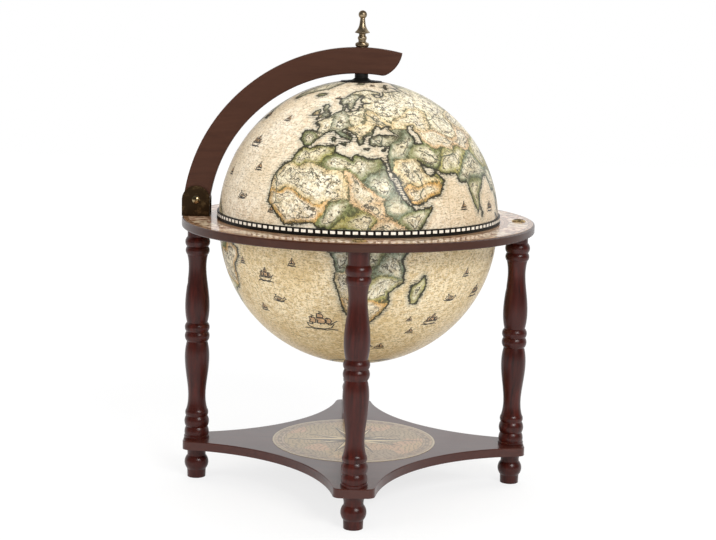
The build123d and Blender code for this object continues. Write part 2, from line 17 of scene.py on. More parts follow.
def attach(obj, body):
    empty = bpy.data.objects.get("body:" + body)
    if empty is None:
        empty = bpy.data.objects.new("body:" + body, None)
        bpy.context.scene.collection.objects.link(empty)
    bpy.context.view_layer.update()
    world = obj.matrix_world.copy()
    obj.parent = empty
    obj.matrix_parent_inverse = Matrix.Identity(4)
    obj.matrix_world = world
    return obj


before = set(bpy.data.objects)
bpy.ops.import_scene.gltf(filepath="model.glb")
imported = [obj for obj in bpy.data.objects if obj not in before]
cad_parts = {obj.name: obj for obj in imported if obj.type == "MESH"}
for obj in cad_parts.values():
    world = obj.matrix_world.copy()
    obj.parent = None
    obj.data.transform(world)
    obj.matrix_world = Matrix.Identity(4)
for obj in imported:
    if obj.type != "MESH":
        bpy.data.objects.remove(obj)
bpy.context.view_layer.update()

LOG = logging.getLogger("globe_bar")
MM = 0.001
DEGREES = 180 / math.pi  # in a radian
SIDES = ("front", "right", "back", "left")
FACING_LONGITUDE = 22.0  # the meridian that stands at the front, in degrees east
GLOBE_MIDDLE_Z = 314 * MM
AIM_Z = 280 * MM  # the height that the camera and the lamps face

Colour = tuple[float, float, float]
Socket = bpy.types.NodeSocket


def shade(red: int, green: int, blue: int) -> Colour:
    """Turn a screen colour into the linear colour that shaders use.

    Args:
        red: Red, from 0 to 255.
        green: Green, from 0 to 255.
        blue: Blue, from 0 to 255.

    Returns:
        The linear colour.
    """

    def linear(value: int) -> float:
        """Return one part by the screen's curve."""
        share = value / 255
        return share / 12.92 if share <= 0.04045 else ((share + 0.055) / 1.055) ** 2.4

    return linear(red), linear(green), linear(blue)


# ---------------------------------------------------------------- shader graphs


class Graph:
    """A material's or a world's node tree, written as expressions."""

    def __init__(self, name: str, kind: str = "materials") -> None:
        """Make an empty material, or a thing of another kind that holds nodes.

        Args:
            name: Its name.
            kind: The collection of bpy.data that it is made in.
        """
        self.owner = getattr(bpy.data, kind).new(name)
        self.owner.use_nodes = True
        self.tree = self.owner.node_tree
        self.tree.nodes.clear()
        self._object: Socket | None = None

    def node(self, kind: str, **settings: object) -> bpy.types.Node:
        """Add a node.

        Args:
            kind: The node's type.
            **settings: Its properties.

        Returns:
            The node.
        """
        made = self.tree.nodes.new(kind)
        for key, value in settings.items():
            setattr(made, key, value)
        return made

    def put(self, socket: Socket, value: object) -> None:
        """Link or set a socket, whichever the value calls for.

        Args:
            socket: The input.
            value: A socket to link, or a number, colour or vector to set.
        """
        if isinstance(value, bpy.types.NodeSocket):
            self.tree.links.new(value, socket)
        elif isinstance(value, tuple) and len(value) == 3 and socket.type == "RGBA":
            socket.default_value = (*value, 1.0)
        else:
            socket.default_value = value

    def fill(self, made: bpy.types.Node, **sockets: object) -> bpy.types.Node:
        """Put values into a node's inputs.

        Args:
            made: The node.
            **sockets: Values by the input's name, with _ for a space.

        Returns:
            The same node.
        """
        for key, value in sockets.items():
            self.put(made.inputs[key.replace("_", " ")], value)
        return made

    def place(self) -> Socket:
        """Return the Object coordinates, in metres in the piece's own frame."""
        if self._object is None:
            self._object = self.node("ShaderNodeTexCoord").outputs["Object"]
        return self._object

    def math(self, operation: str, *values: object, clamp: bool = False) -> Socket:
        """Add a Math node.

        Args:
            operation: The operation's identifier.
            *values: Its inputs, sockets or numbers.
            clamp: Whether the result is kept between 0 and 1.

        Returns:
            The result.
        """
        made = self.node("ShaderNodeMath", operation=operation, use_clamp=clamp)
        for socket, value in zip(made.inputs, values):
            self.put(socket, value)
        return made.outputs[0]

    def chain(self, operation: str, first: object, *others: object) -> Socket:
        """Join values by one operation, from left to right.

        Args:
            operation: The identifier of an operation on two numbers.
            first: The first value.
            *others: The values joined to it in turn.

        Returns:
            The result, which is the first value where there are no others.
        """
        for value in others:
            first = self.math(operation, first, value)
        return first

    def times(self, *values: object) -> Socket:
        """Return the product of the values."""
        return self.chain("MULTIPLY", *values)

    def plus(self, first: object, second: object) -> Socket:
        """Return the sum of two values."""
        return self.math("ADD", first, second)

    def minus(self, first: object, second: object) -> Socket:
        """Return the first value less the second."""
        return self.math("SUBTRACT", first, second)

    def most(self, *values: object) -> Socket:
        """Return the greatest of the values."""
        return self.chain("MAXIMUM", *values)

    def span(self, value: Socket) -> Socket:
        """Return a value without its sign."""
        return self.math("ABSOLUTE", value)

    def scaled(self, value: Socket, factor: float, shift: object) -> Socket:
        """Return value * factor + shift."""
        return self.math("MULTIPLY_ADD", value, factor, shift)

    def millimetres(self, value: Socket) -> Socket:
        """Return a length in metres as millimetres."""
        return self.times(value, 1 / MM)

    def vector(self, operation: str, *values: object, scale: object = None) -> Socket:
        """Add a Vector Math node.

        Args:
            operation: The operation's identifier.
            *values: Its inputs, sockets or vectors.
            scale: The factor, for SCALE.

        Returns:
            The result, a number for dot products and lengths.
        """
        made = self.node("ShaderNodeVectorMath", operation=operation)
        for socket, value in zip(made.inputs, values):
            self.put(socket, value)
        if scale is not None:
            self.put(made.inputs["Scale"], scale)
        number = operation in ("DOT_PRODUCT", "LENGTH", "DISTANCE")
        return made.outputs["Value" if number else "Vector"]

    def split(self, vector: Socket) -> tuple[Socket, Socket, Socket]:
        """Return a vector's three numbers."""
        made = self.fill(self.node("ShaderNodeSeparateXYZ"), Vector=vector)
        return made.outputs[0], made.outputs[1], made.outputs[2]

    def join(self, x: object, y: object, z: object) -> Socket:
        """Return a vector of three numbers."""
        return self.fill(self.node("ShaderNodeCombineXYZ"), X=x, Y=y, Z=z).outputs[0]

    def length(self, x: Socket, y: Socket) -> Socket:
        """Return the length of (x, y)."""
        return self.vector("LENGTH", self.join(x, y, 0.0))

    def polar(self) -> tuple[Socket, Socket]:
        """Return the distance from the globe's axis, in millimetres, and the angle, in degrees."""
        x, y, _ = self.split(self.place())
        return self.millimetres(self.length(x, y)), self.times(self.math("ARCTAN2", y, x), DEGREES)

    def red(self, colour: Socket) -> Socket:
        """Return a colour's red part."""
        return self.fill(self.node("ShaderNodeSeparateColor"), Color=colour).outputs[0]

    def stretched(self, vector: Socket, scale: tuple[float, float, float]) -> Socket:
        """Return a vector with each axis scaled."""
        return self.vector("MULTIPLY", vector, scale)

    def noise(self, vector: Socket, scale: float, detail: float = 3.0, roughness: float = 0.55) -> Socket:
        """Add smooth noise.

        Args:
            vector: The place it is read at.
            scale: Its features in a metre.
            detail: The number of its finer layers.
            roughness: The strength of each layer beside the last.

        Returns:
            A number from 0 to 1.
        """
        made = self.node("ShaderNodeTexNoise")
        self.fill(made, Vector=vector, Scale=scale, Detail=detail, Roughness=roughness)
        return made.outputs["Fac"]

    def wobble(self, vector: Socket, scale: float, amount: float) -> Socket:
        """Move a place by coloured noise.

        Args:
            vector: The place.
            scale: The noise's features in a metre.
            amount: The most that it moves each way, in metres.

        Returns:
            The moved place.
        """
        made = self.fill(self.node("ShaderNodeTexNoise"), Vector=vector, Scale=scale, Detail=3.0)
        shift = self.vector("SUBTRACT", made.outputs["Color"], (0.5, 0.5, 0.5))
        return self.vector("ADD", vector, self.vector("SCALE", shift, scale=2 * amount))

    def cells(self, vector: Socket, scale: float, feature: str = "F1") -> bpy.types.Node:
        """Return a Voronoi node."""
        return self.fill(self.node("ShaderNodeTexVoronoi", feature=feature), Vector=vector, Scale=scale)

    def wave(self, kind: str, vector: Socket, scale: float) -> Socket:
        """Return a Wave texture's value, of BANDS or RINGS."""
        made = self.fill(self.node("ShaderNodeTexWave", wave_type=kind), Vector=vector, Scale=scale)
        return made.outputs["Fac"]

    def smooth(
        self, value: Socket, low: float, high: float, start: float = 0.0, end: float = 1.0
    ) -> Socket:
        """Step smoothly from one number to another.

        Args:
            value: The value that the step follows.
            low: Where it begins, which may be above high.
            high: Where it ends.
            start: The result before it.
            end: The result after it.

        Returns:
            The stepped number.
        """
        made = self.node("ShaderNodeMapRange", interpolation_type="SMOOTHSTEP")
        self.fill(made, Value=value, From_Min=low, From_Max=high, To_Min=start, To_Max=end)
        return made.outputs["Result"]

    def band(self, value: Socket, low: float, high: float, soft: float) -> Socket:
        """Return 1 from low to high and 0 outside, with edges soft wide inside them."""
        return self.times(self.smooth(value, low, low + soft), self.smooth(value, high, high - soft))

    def line(self, distance: Socket, half_width: float, soft: float) -> Socket:
        """Return 1 on a line and 0 off it, from a distance to its middle."""
        return self.minus(1.0, self.smooth(self.span(distance), half_width, half_width + soft))

    def circles(self, radius: Socket, radii: tuple[float, ...], half_width: float, soft: float) -> Socket:
        """Return 1 on thin circles of the given radii."""
        return self.most(*(self.line(self.minus(radius, one), half_width, soft) for one in radii))

    def repeat(self, value: Socket, pitch: float) -> Socket:
        """Return the distance from a value to the nearest multiple of pitch."""
        return self.minus(self.math("FLOORED_MODULO", self.plus(value, pitch / 2), pitch), pitch / 2)

    def chequer(self, value: Socket, pitch: float) -> Socket:
        """Return 1 in the second half of each pitch and 0 in the first."""
        return self.math("GREATER_THAN", self.math("FLOORED_MODULO", value, pitch), pitch / 2)

    def mix(self, share: object, first: object, second: object, blend: str = "MIX") -> Socket:
        """Mix two colours.

        Args:
            share: The strength of the second.
            first: The colour below.
            second: The colour laid on.
            blend: The identifier of the way they join.

        Returns:
            The mixed colour.
        """
        made = self.node("ShaderNodeMix", data_type="RGBA", blend_type=blend)
        for index, value in ((0, share), (6, first), (7, second)):
            self.put(made.inputs[index], value)
        return made.outputs[2]

    def paint(self, under: object, tone: object, *masks: object) -> Socket:
        """Return a colour with a tone laid on, as strongly as the product of the masks."""
        return self.mix(self.times(*masks), under, tone)

    def ramp(self, value: Socket, *stops: tuple[float, Colour]) -> Socket:
        """Turn a number into a colour.

        Args:
            value: The number, from 0 to 1.
            *stops: Places and their colours, in order.

        Returns:
            The colour.
        """
        made = self.fill(self.node("ShaderNodeValToRGB"), Fac=value)
        elements = made.color_ramp.elements
        for element, (position, colour) in zip(elements, (stops[0], stops[-1])):
            element.position = position
            element.color = (*colour, 1)
        for position, colour in stops[1:-1]:
            elements.new(position).color = (*colour, 1)
        return made.outputs[0]

    def attribute(self, name: str) -> bpy.types.Node:
        """Return the Attribute node of a piece's own attribute."""
        return self.node("ShaderNodeAttribute", attribute_name=name)

    def bump(self, height: Socket, depth: float, strength: float) -> Socket:
        """Return a normal bumped by a height of 0 to 1, depth metres deep."""
        made = self.fill(self.node("ShaderNodeBump"), Strength=strength, Distance=depth, Height=height)
        return made.outputs["Normal"]

    def surface(
        self, colour: object, roughness: object, normal: Socket | None = None, **sockets: object
    ) -> bpy.types.Material:
        """Finish the material with a Principled shader.

        Args:
            colour: The base colour.
            roughness: The roughness.
            normal: The bumped normal, if there is one.
            **sockets: Other inputs by name, with _ for a space.

        Returns:
            The material.
        """
        shader = self.node("ShaderNodeBsdfPrincipled")
        self.fill(shader, Base_Color=colour, Roughness=roughness, **sockets)
        if normal is not None:
            self.put(shader.inputs["Normal"], normal)
        self.close(shader, "ShaderNodeOutputMaterial")
        return self.owner

    def close(self, shader: bpy.types.Node, kind: str) -> None:
        """Link a shader to an output node of the given kind."""
        self.put(self.node(kind).inputs[0], shader.outputs[0])


# ---------------------------------------------------------------- finishes


@dataclass(frozen=True)
class Stain:
    """A wood stain under lacquer: its shades, its grain's direction and its gloss."""

    name: str
    dark: Colour
    mid: Colour
    light: Colour
    stretch: tuple[float, float, float]
    gloss: float
    coat: float
    shine: float = 0.35
    coat_blur: float = 0.07

    def material(self) -> bpy.types.Material:
        """Make stained wood, its grain drawn out along the axis with the least stretch.

        Returns:
            The material.
        """
        g = Graph(self.name)
        along = g.stretched(g.wobble(g.place(), 9.0, 6 * MM), self.stretch)
        streaks = g.noise(along, 34.0, 5.0, 0.62)
        pores = g.noise(along, 210.0, 3.0, 0.7)
        clouds = g.noise(g.place(), 14.0, 2.0)
        colour = g.ramp(streaks, (0.28, self.dark), (0.5, self.mid), (0.76, self.light))
        colour = g.mix(g.smooth(clouds, 0.3, 0.75), colour, self.mid)
        colour = g.paint(colour, self.dark, g.smooth(pores, 0.56, 0.7), 0.45)
        normal = g.bump(g.plus(pores, streaks), 0.06 * MM, 0.35)
        return g.surface(
            colour, g.scaled(clouds, 0.12, self.gloss - 0.06), normal, Coat_Weight=self.coat,
            Coat_Roughness=self.coat_blur, Coat_IOR=1.42, Specular_IOR_Level=self.shine,
        )


@dataclass(frozen=True)
class Brass:
    """Brass with soft patches of dark patina between rubbed ones."""

    name: str
    bright: Colour
    patina: Colour
    wear: float
    gloss: float
    pitting: float = 0.25

    def material(self) -> bpy.types.Material:
        """Make aged brass: soft patches of patina, and a little pitting.

        Returns:
            The material.
        """
        g = Graph(self.name)
        patches = g.noise(g.place(), 110.0, 4.0, 0.6)
        pits = g.noise(g.place(), 900.0, 2.0)
        worn = g.smooth(patches, self.wear, self.wear + 0.28)
        normal = g.bump(g.plus(pits, patches), 0.02 * MM, self.pitting)
        rough = g.scaled(worn, -0.14, self.gloss + 0.12)
        return g.surface(g.mix(worn, self.patina, self.bright), rough, normal, Metallic=1.0)


@dataclass(frozen=True)
class CapBrass:
    """The ring's brass caps: a rubbed rim and a bright lip round a dark dish, painted shade in the recess."""

    name: str = "cap_brass"
    circle: float = 190 * MM
    rim_r: float = 5.4  # in millimetres, like the lip's
    lip_r: float = 2.6

    def material(self) -> bpy.types.Material:
        """Make the brass, banded by the distance from the nearest cap's centre: bright on the rim and the
        lip, and dark elsewhere, which in the dish and the middle is painted shade.

        The caps stand on the X and Y axes, so that centre is at circle along the longer axis.

        Returns:
            The material.
        """
        g = Graph(self.name)
        x, y = (g.span(part) for part in g.split(g.place())[:2])
        radius = g.millimetres(g.length(g.minus(g.most(x, y), self.circle), g.math("MINIMUM", x, y)))
        rim = g.smooth(radius, self.rim_r, self.rim_r + 0.8)
        lip = g.line(g.minus(radius, self.lip_r), 0.8, 0.6)
        worn = g.noise(g.place(), 260.0, 3.0)
        # bright on the rim and the lip in noisy patches; the dark colour left elsewhere is painted shade in
        # the dish and the middle, and unrubbed brass on the rim
        rubbed = g.times(g.most(rim, lip), g.smooth(worn, 0.3, 0.6))
        colour = g.mix(rubbed, shade(58, 45, 28), shade(222, 192, 136))
        return g.surface(colour, g.scaled(rubbed, -0.2, 0.5), g.bump(worn, 0.02 * MM, 0.25), Metallic=1.0)


@dataclass(frozen=True)
class Plain:
    """A plastic, steel or painted piece with a faint grain."""

    name: str
    colour: Colour
    gloss: float
    metallic: float = 0.0
    grain: float = 900.0

    def material(self) -> bpy.types.Material:
        """Make the finish, its colour and gloss varied a little by fine noise.

        Returns:
            The material.
        """
        g = Graph(self.name)
        fine = g.noise(g.place(), self.grain, 3.0)
        broad = g.noise(g.place(), 40.0, 3.0)
        darker = tuple(0.72 * part for part in self.colour)
        colour = g.mix(g.smooth(broad, 0.35, 0.7), darker, self.colour)
        return g.surface(
            colour, g.scaled(fine, 0.16, self.gloss - 0.08), g.bump(fine, 0.03 * MM, 0.4),
            Metallic=self.metallic, Specular_IOR_Level=0.25,
        )


@dataclass(frozen=True)
class Paper:
    """An aged printing paper: its shades and the strength of its fine specks."""

    light: Colour
    mid: Colour
    warm: Colour
    speckle: float = 0.78

    def tone(self, g: Graph, place: Socket) -> Socket:
        """Draw broad warm clouds, mottling and fine specks.

        Args:
            g: The graph they are drawn in.
            place: The place they are read at.

        Returns:
            The paper's colour.
        """
        clouds = g.noise(place, 11.0, 4.0, 0.6)
        mottle = g.noise(place, 190.0, 4.0, 0.75)
        specks = g.noise(place, 420.0, 3.0, 0.75)
        colour = g.ramp(clouds, (0.3, self.light), (0.55, self.mid), (0.8, self.warm))
        colour = g.paint(colour, self.warm, g.smooth(mottle, 0.44, 0.6), 0.72)
        dark = tuple(0.5 * part for part in self.warm)
        return g.paint(colour, dark, g.smooth(specks, 0.54, 0.62), self.speckle)


DOME_PAPER = Paper(shade(246, 236, 216), shade(232, 216, 188), shade(206, 182, 146), 0.4)
BOWL_PAPER = Paper(shade(240, 224, 190), shade(224, 202, 158), shade(196, 166, 112), 0.72)
SOIL_PAPER = Paper(shade(252, 246, 228), shade(242, 232, 204), shade(208, 190, 150), 0.6)
RING_PAPER = Paper(shade(206, 174, 138), shade(186, 146, 108), shade(158, 108, 72))
SHELF_PAPER = Paper(shade(196, 174, 140), shade(176, 150, 116), shade(144, 114, 80))


class Tone(Enum):
    """The map's printing inks and washes."""

    INK = shade(56, 48, 34)
    COAST = shade(40, 38, 26)
    BORDER = shade(72, 72, 46)
    RIVER = shade(92, 92, 76)
    NET = shade(120, 96, 62)
    RIPPLE = shade(120, 98, 66)
    SHALLOWS = shade(158, 158, 142)
    BANK = shade(84, 88, 58)
    GROUND = shade(96, 84, 56)


def hill_signs(g: Graph, centred: Socket, scale: float, radius: float) -> Socket:
    """Draw small engraved hills: an arch in some cells, hatched on its eastern side.

    Each cell's offset from its own point is flattened onto the sphere, by taking away its part
    along the outward direction. The arch is where its length is the radius, and it lies north
    of the point.

    Args:
        g: The graph they are drawn in.
        centred: The place from the sphere's centre.
        scale: The cells in a metre.
        radius: The arch's radius, in millimetres.

    Returns:
        1 on the hills' lines and 0 off them.
    """
    cells = g.cells(centred, scale)
    out = g.vector("NORMALIZE", centred)
    off = g.vector("SUBTRACT", centred, cells.outputs["Position"])
    flat = g.vector("SUBTRACT", off, g.vector("SCALE", out, scale=g.vector("DOT_PRODUCT", off, out)))
    length = g.millimetres(g.vector("LENGTH", flat))
    north = g.millimetres(g.split(flat)[2])
    eastward = g.vector("CROSS_PRODUCT", (0.0, 0.0, 1.0), out)
    east = g.millimetres(g.vector("DOT_PRODUCT", eastward, flat))
    arch = g.line(g.minus(length, radius), 0.22, 0.3)
    hatch = g.line(g.repeat(g.plus(east, north), 0.9), 0.12, 0.2)
    shadow = g.times(hatch, g.smooth(east, 0.0, 0.3), g.smooth(length, radius, radius - 0.3))
    chosen = g.math("GREATER_THAN", g.red(cells.outputs["Color"]), 0.35)
    return g.times(g.most(arch, shadow), g.smooth(north, -0.1, 0.1), chosen)


@dataclass(frozen=True)
class MapPrint:
    """The printed and varnished map on a half globe, drawn from the skin's attributes.

    coast is the distance from the coast in millimetres, positive on land, border the distance
    from a region's edge, and tint the region's wash.
    """

    name: str
    centre_z: float
    radius: float
    paper: Paper
    net_pitch: float = 15.0  # degrees between meridians, and between parallels
    great_circles: tuple[tuple[float, float], ...] = ((23.4, 0.0), (66.0, 40.0), (52.0, -75.0), (78.0, 115.0))

    def material(self) -> bpy.types.Material:
        """Make the map: sea and land with the coast's outline, and the net over both.

        Returns:
            The material.
        """
        g = Graph(self.name)
        place = g.vector("SUBTRACT", g.place(), (0.0, 0.0, self.centre_z))
        wiggle = g.times(g.minus(g.noise(place, 260.0, 3.0, 0.7), 0.5), 6.5)
        shore = g.plus(g.attribute("coast").outputs["Fac"], wiggle)
        edge = g.plus(g.attribute("border").outputs["Fac"], wiggle)
        sea = self.sea(g, place, shore, wiggle)
        colour = g.mix(g.smooth(shore, -0.15, 0.15), sea, self.soil(g, place, shore, edge))
        swelling = g.scaled(g.noise(place, 130.0, 2.0), 2.6, -0.5)
        off_coast = g.minus(g.span(g.plus(shore, 0.15)), swelling)
        colour = g.paint(colour, Tone.COAST.value, g.smooth(off_coast, 0.6, 0.0), 0.94)
        colour = g.paint(colour, Tone.NET.value, self.net(g, place), 0.34)
        grain = g.noise(place, 900.0, 2.0)
        return g.surface(
            colour, g.scaled(grain, 0.1, 0.36), g.bump(grain, 0.02 * MM, 0.3), Coat_Weight=0.15,
            Coat_Roughness=0.2, Specular_IOR_Level=0.3,
        )

    def sea(self, g: Graph, place: Socket, shore: Socket, wiggle: Socket) -> Socket:
        """Draw the sea: broken ripples, grey shallows and rows of hatching off the coast.

        Args:
            g: The graph it is drawn in.
            place: The place from the sphere's centre.
            shore: The distance from the coast, in millimetres, positive on land.
            wiggle: The unevenness already in shore.

        Returns:
            The sea's colour.
        """
        height = g.millimetres(g.split(place)[2])
        ripple = g.line(g.repeat(g.scaled(g.noise(place, 120.0, 2.0), 9.0, height), 3.1), 0.35, 0.5)
        broken = g.smooth(g.noise(g.stretched(place, (1.0, 1.0, 2.6)), 260.0, 3.0, 0.7), 0.49, 0.56)
        sea = g.paint(self.paper.tone(g, place), Tone.RIPPLE.value, ripple, broken, 0.5)
        sea = g.paint(sea, Tone.SHALLOWS.value, g.smooth(shore, -8.0, 0.0), 0.55)
        hatch = g.line(g.repeat(g.scaled(g.noise(place, 95.0, 2.0), 5.0, height), 2.3), 0.28, 0.45)
        length = g.scaled(g.noise(place, 34.0, 2.0), 16.0, -12.0)
        near = g.smooth(g.plus(g.scaled(wiggle, 1.5, shore), length), -8.0, -3.5)
        return g.paint(sea, Tone.INK.value, hatch, near, 0.78)

    def soil(self, g: Graph, place: Socket, shore: Socket, edge: Socket) -> Socket:
        """Draw the land: washes along its edges, engraved ground, hills, rivers and borders.

        Args:
            g: The graph it is drawn in.
            place: The place from the sphere's centre.
            shore: The distance from the coast, in millimetres, positive on land.
            edge: The distance from the nearest region's edge, in millimetres.

        Returns:
            The land's colour.
        """
        rim = g.math("MINIMUM", shore, g.span(edge))
        wash = g.minus(1.0, g.times(g.smooth(rim, 1.0, 7.5), 0.86))
        blotch = g.scaled(g.noise(place, 60.0, 3.0), 1.0, 0.5)
        washed = g.math("MULTIPLY", wash, blotch, clamp=True)
        tint = g.attribute("tint").outputs["Color"]
        soil = g.mix(washed, SOIL_PAPER.tone(g, place), tint, "MULTIPLY")

        bank = g.smooth(g.noise(place, 70.0, 3.0), 0.38, 0.6)
        soil = g.paint(soil, Tone.BANK.value, g.smooth(shore, 4.5, 0.5), bank, 0.7)
        ground = g.noise(g.wobble(place, 90.0, 2.5 * MM), 210.0, 4.0, 0.78)
        soil = g.paint(soil, Tone.GROUND.value, g.smooth(ground, 0.54, 0.58), 0.48)

        squiggle = g.line(g.minus(ground, 0.47), 0.011, 0.014)
        busy = g.smooth(g.noise(place, 40.0, 2.0), 0.44, 0.54)
        away = g.scaled(g.noise(place, 55.0, 3.0), 11.0, rim)
        ridges = g.smooth(g.noise(g.stretched(place, (1.0, 1.0, 2.0)), 48.0, 2.0), 0.45, 0.5)
        strokes = g.smooth(g.noise(g.stretched(place, (1.0, 1.0, 0.2)), 420.0, 2.0), 0.53, 0.58)
        reach = g.scaled(g.noise(place, 38.0, 2.0), 18.0, -6.0)
        hills = g.most(hill_signs(g, place, 150.0, 2.0), hill_signs(g, place, 95.0, 2.7))
        high = g.smooth(g.noise(place, 30.0, 2.0), 0.42, 0.52)
        for masks in (
            (squiggle, busy, 0.62),
            (g.line(g.minus(away, 11.5), 0.35, 0.4), ridges, 0.85),
            (g.line(g.minus(away, 15.5), 0.2, 0.4), ridges, 0.85),
            (strokes, g.smooth(g.minus(reach, shore), 0.0, 2.0), 0.7),
            (hills, high, g.smooth(rim, 0.6, 1.4), 0.85),
        ):
            soil = g.paint(soil, Tone.INK.value, *masks)

        river = g.cells(g.wobble(place, 45.0, 8 * MM), 24.0, "DISTANCE_TO_EDGE").outputs["Distance"]
        flowing = g.smooth(g.noise(place, 26.0, 2.0), 0.5, 0.56)
        soil = g.paint(soil, Tone.RIVER.value, g.line(river, 0.007, 0.012), flowing)
        return g.paint(soil, Tone.BORDER.value, g.line(edge, 0.5, 0.6), 0.85)

    def net(self, g: Graph, place: Socket) -> Socket:
        """Draw the meridians, the parallels and a few great circles.

        The distance to a meridian is the difference in longitude, narrowed by the latitude's
        cosine. The distance to a great circle is the place dotted with the circle's normal.

        Args:
            g: The graph they are drawn in.
            place: The place from the sphere's centre.

        Returns:
            1 on their lines and 0 off them.
        """
        x, y, z = g.split(place)
        turn = g.times(g.math("ARCTAN2", x, g.times(y, -1.0)), DEGREES)
        latitude = g.math("ARCSINE", g.math("DIVIDE", z, self.radius))
        mm_per_degree = self.radius / MM / DEGREES
        narrowing = g.times(g.math("COSINE", latitude), mm_per_degree)
        across = g.times(g.repeat(g.plus(turn, FACING_LONGITUDE), self.net_pitch), narrowing)
        along = g.times(g.repeat(g.times(latitude, DEGREES), self.net_pitch), mm_per_degree)
        net = g.most(g.line(across, 0.14, 0.3), g.line(along, 0.14, 0.3))
        for tilt, around in self.great_circles:
            lean = math.radians(tilt)
            tilted = Vector((math.sin(lean), 0.0, math.cos(lean)))
            normal = Matrix.Rotation(math.radians(around), 3, "Z") @ tilted
            off = g.millimetres(g.vector("DOT_PRODUCT", place, tuple(normal)))
            net = g.most(net, g.line(off, 0.12, 0.3))
        return net


@dataclass(frozen=True)
class EquatorBand:
    """The black band with a row of pale blocks round the dome's edge."""

    name: str = "equator_band"
    blocks: int = 126
    share: float = 0.66
    low: float = 322.75  # in millimetres, like the two sizes below
    high: float = 325.95
    face_r: float = 166.2

    def material(self) -> bpy.types.Material:
        """Make satin black with blocks: a block covers share of each 360 / blocks degrees.

        Returns:
            The material.
        """
        g = Graph(self.name)
        radius, angle = g.polar()
        height = g.millimetres(g.split(g.place())[2])
        pitch = 360 / self.blocks
        half = pitch * self.share / 2
        wide = g.smooth(g.span(g.repeat(angle, pitch)), half + 0.05, half - 0.05)
        tall = g.band(height, self.low - 0.1, self.high + 0.1, 0.2)
        block = g.times(wide, tall, g.math("GREATER_THAN", radius, self.face_r))
        mottle = g.noise(g.place(), 400.0, 3.0)
        aged = g.smooth(mottle, 0.45, 0.8)
        pale = g.mix(aged, shade(252, 248, 236), shade(214, 202, 176))
        black = g.mix(aged, shade(14, 12, 10), shade(44, 38, 30))
        normal = g.bump(mottle, 0.03 * MM, 0.3)
        return g.surface(g.mix(block, black, pale), 0.4, normal, Specular_IOR_Level=0.2)


def varnished(g: Graph, colour: Socket, coat: float, blur: float) -> bpy.types.Material:
    """Finish a printed paper under varnish.

    Args:
        g: The paper's graph.
        colour: Its printed colour.
        coat: The varnish's weight.
        blur: The varnish's roughness.

    Returns:
        The material.
    """
    normal = g.bump(g.noise(g.place(), 700.0, 2.0), 0.02 * MM, 0.3)
    return g.surface(colour, 0.3, normal, Coat_Weight=coat, Coat_Roughness=blur, Specular_IOR_Level=0.3)


@dataclass(frozen=True)
class RingPaper:
    """The printed band on the ring: a degree scale, panels of scrollwork and borders."""

    name: str = "ring_paper"
    panel: float = 15.0  # in degrees
    mm_per_degree: float = 3.3
    rules: tuple[float, ...] = (168.6, 172.6, 177.0, 200.8, 204.6)

    def material(self) -> bpy.types.Material:
        """Make the band: rules at five radii, a chequered scale, degree ticks and tinted panels.

        Returns:
            The material.
        """
        g = Graph(self.name)
        radius, angle = g.polar()
        middle = g.band(radius, 177.6, 200.4, 0.4)
        odd = g.math("FLOORED_MODULO", g.math("FLOOR", g.math("DIVIDE", angle, self.panel)), 2.0)
        tinted = g.mix(g.times(odd, 0.8), shade(226, 190, 160), shade(214, 204, 172))
        colour = g.paint(RING_PAPER.tone(g, g.place()), tinted, middle, 0.6)
        swirl = g.wave("RINGS", g.wobble(g.place(), 45.0, 18 * MM), 42.0)
        dots = g.cells(g.place(), 64.0).outputs["Distance"]
        for tone, mask, strength in (
            (shade(124, 68, 36), g.smooth(swirl, 0.66, 0.86), 0.85),
            (shade(228, 206, 176), g.smooth(swirl, 0.3, 0.1), 0.7),
            (shade(98, 54, 32), g.smooth(dots, 0.34, 0.24), 0.8),
        ):
            colour = g.paint(colour, tone, mask, middle, strength)
        spokes = g.times(g.line(g.times(g.repeat(angle, self.panel), self.mm_per_degree), 0.3, 0.25), middle)
        scale = g.times(g.band(radius, 201.4, 204.0, 0.2), g.chequer(angle, 5.0))
        ticks = g.times(g.line(g.repeat(angle, 1.0), 0.12, 0.1), g.band(radius, 173.4, 176.4, 0.2))
        dark = g.most(scale, spokes, ticks, g.circles(radius, self.rules, 0.22, 0.25))
        return varnished(g, g.paint(colour, shade(70, 42, 28), dark, 0.88), 0.7, 0.08)


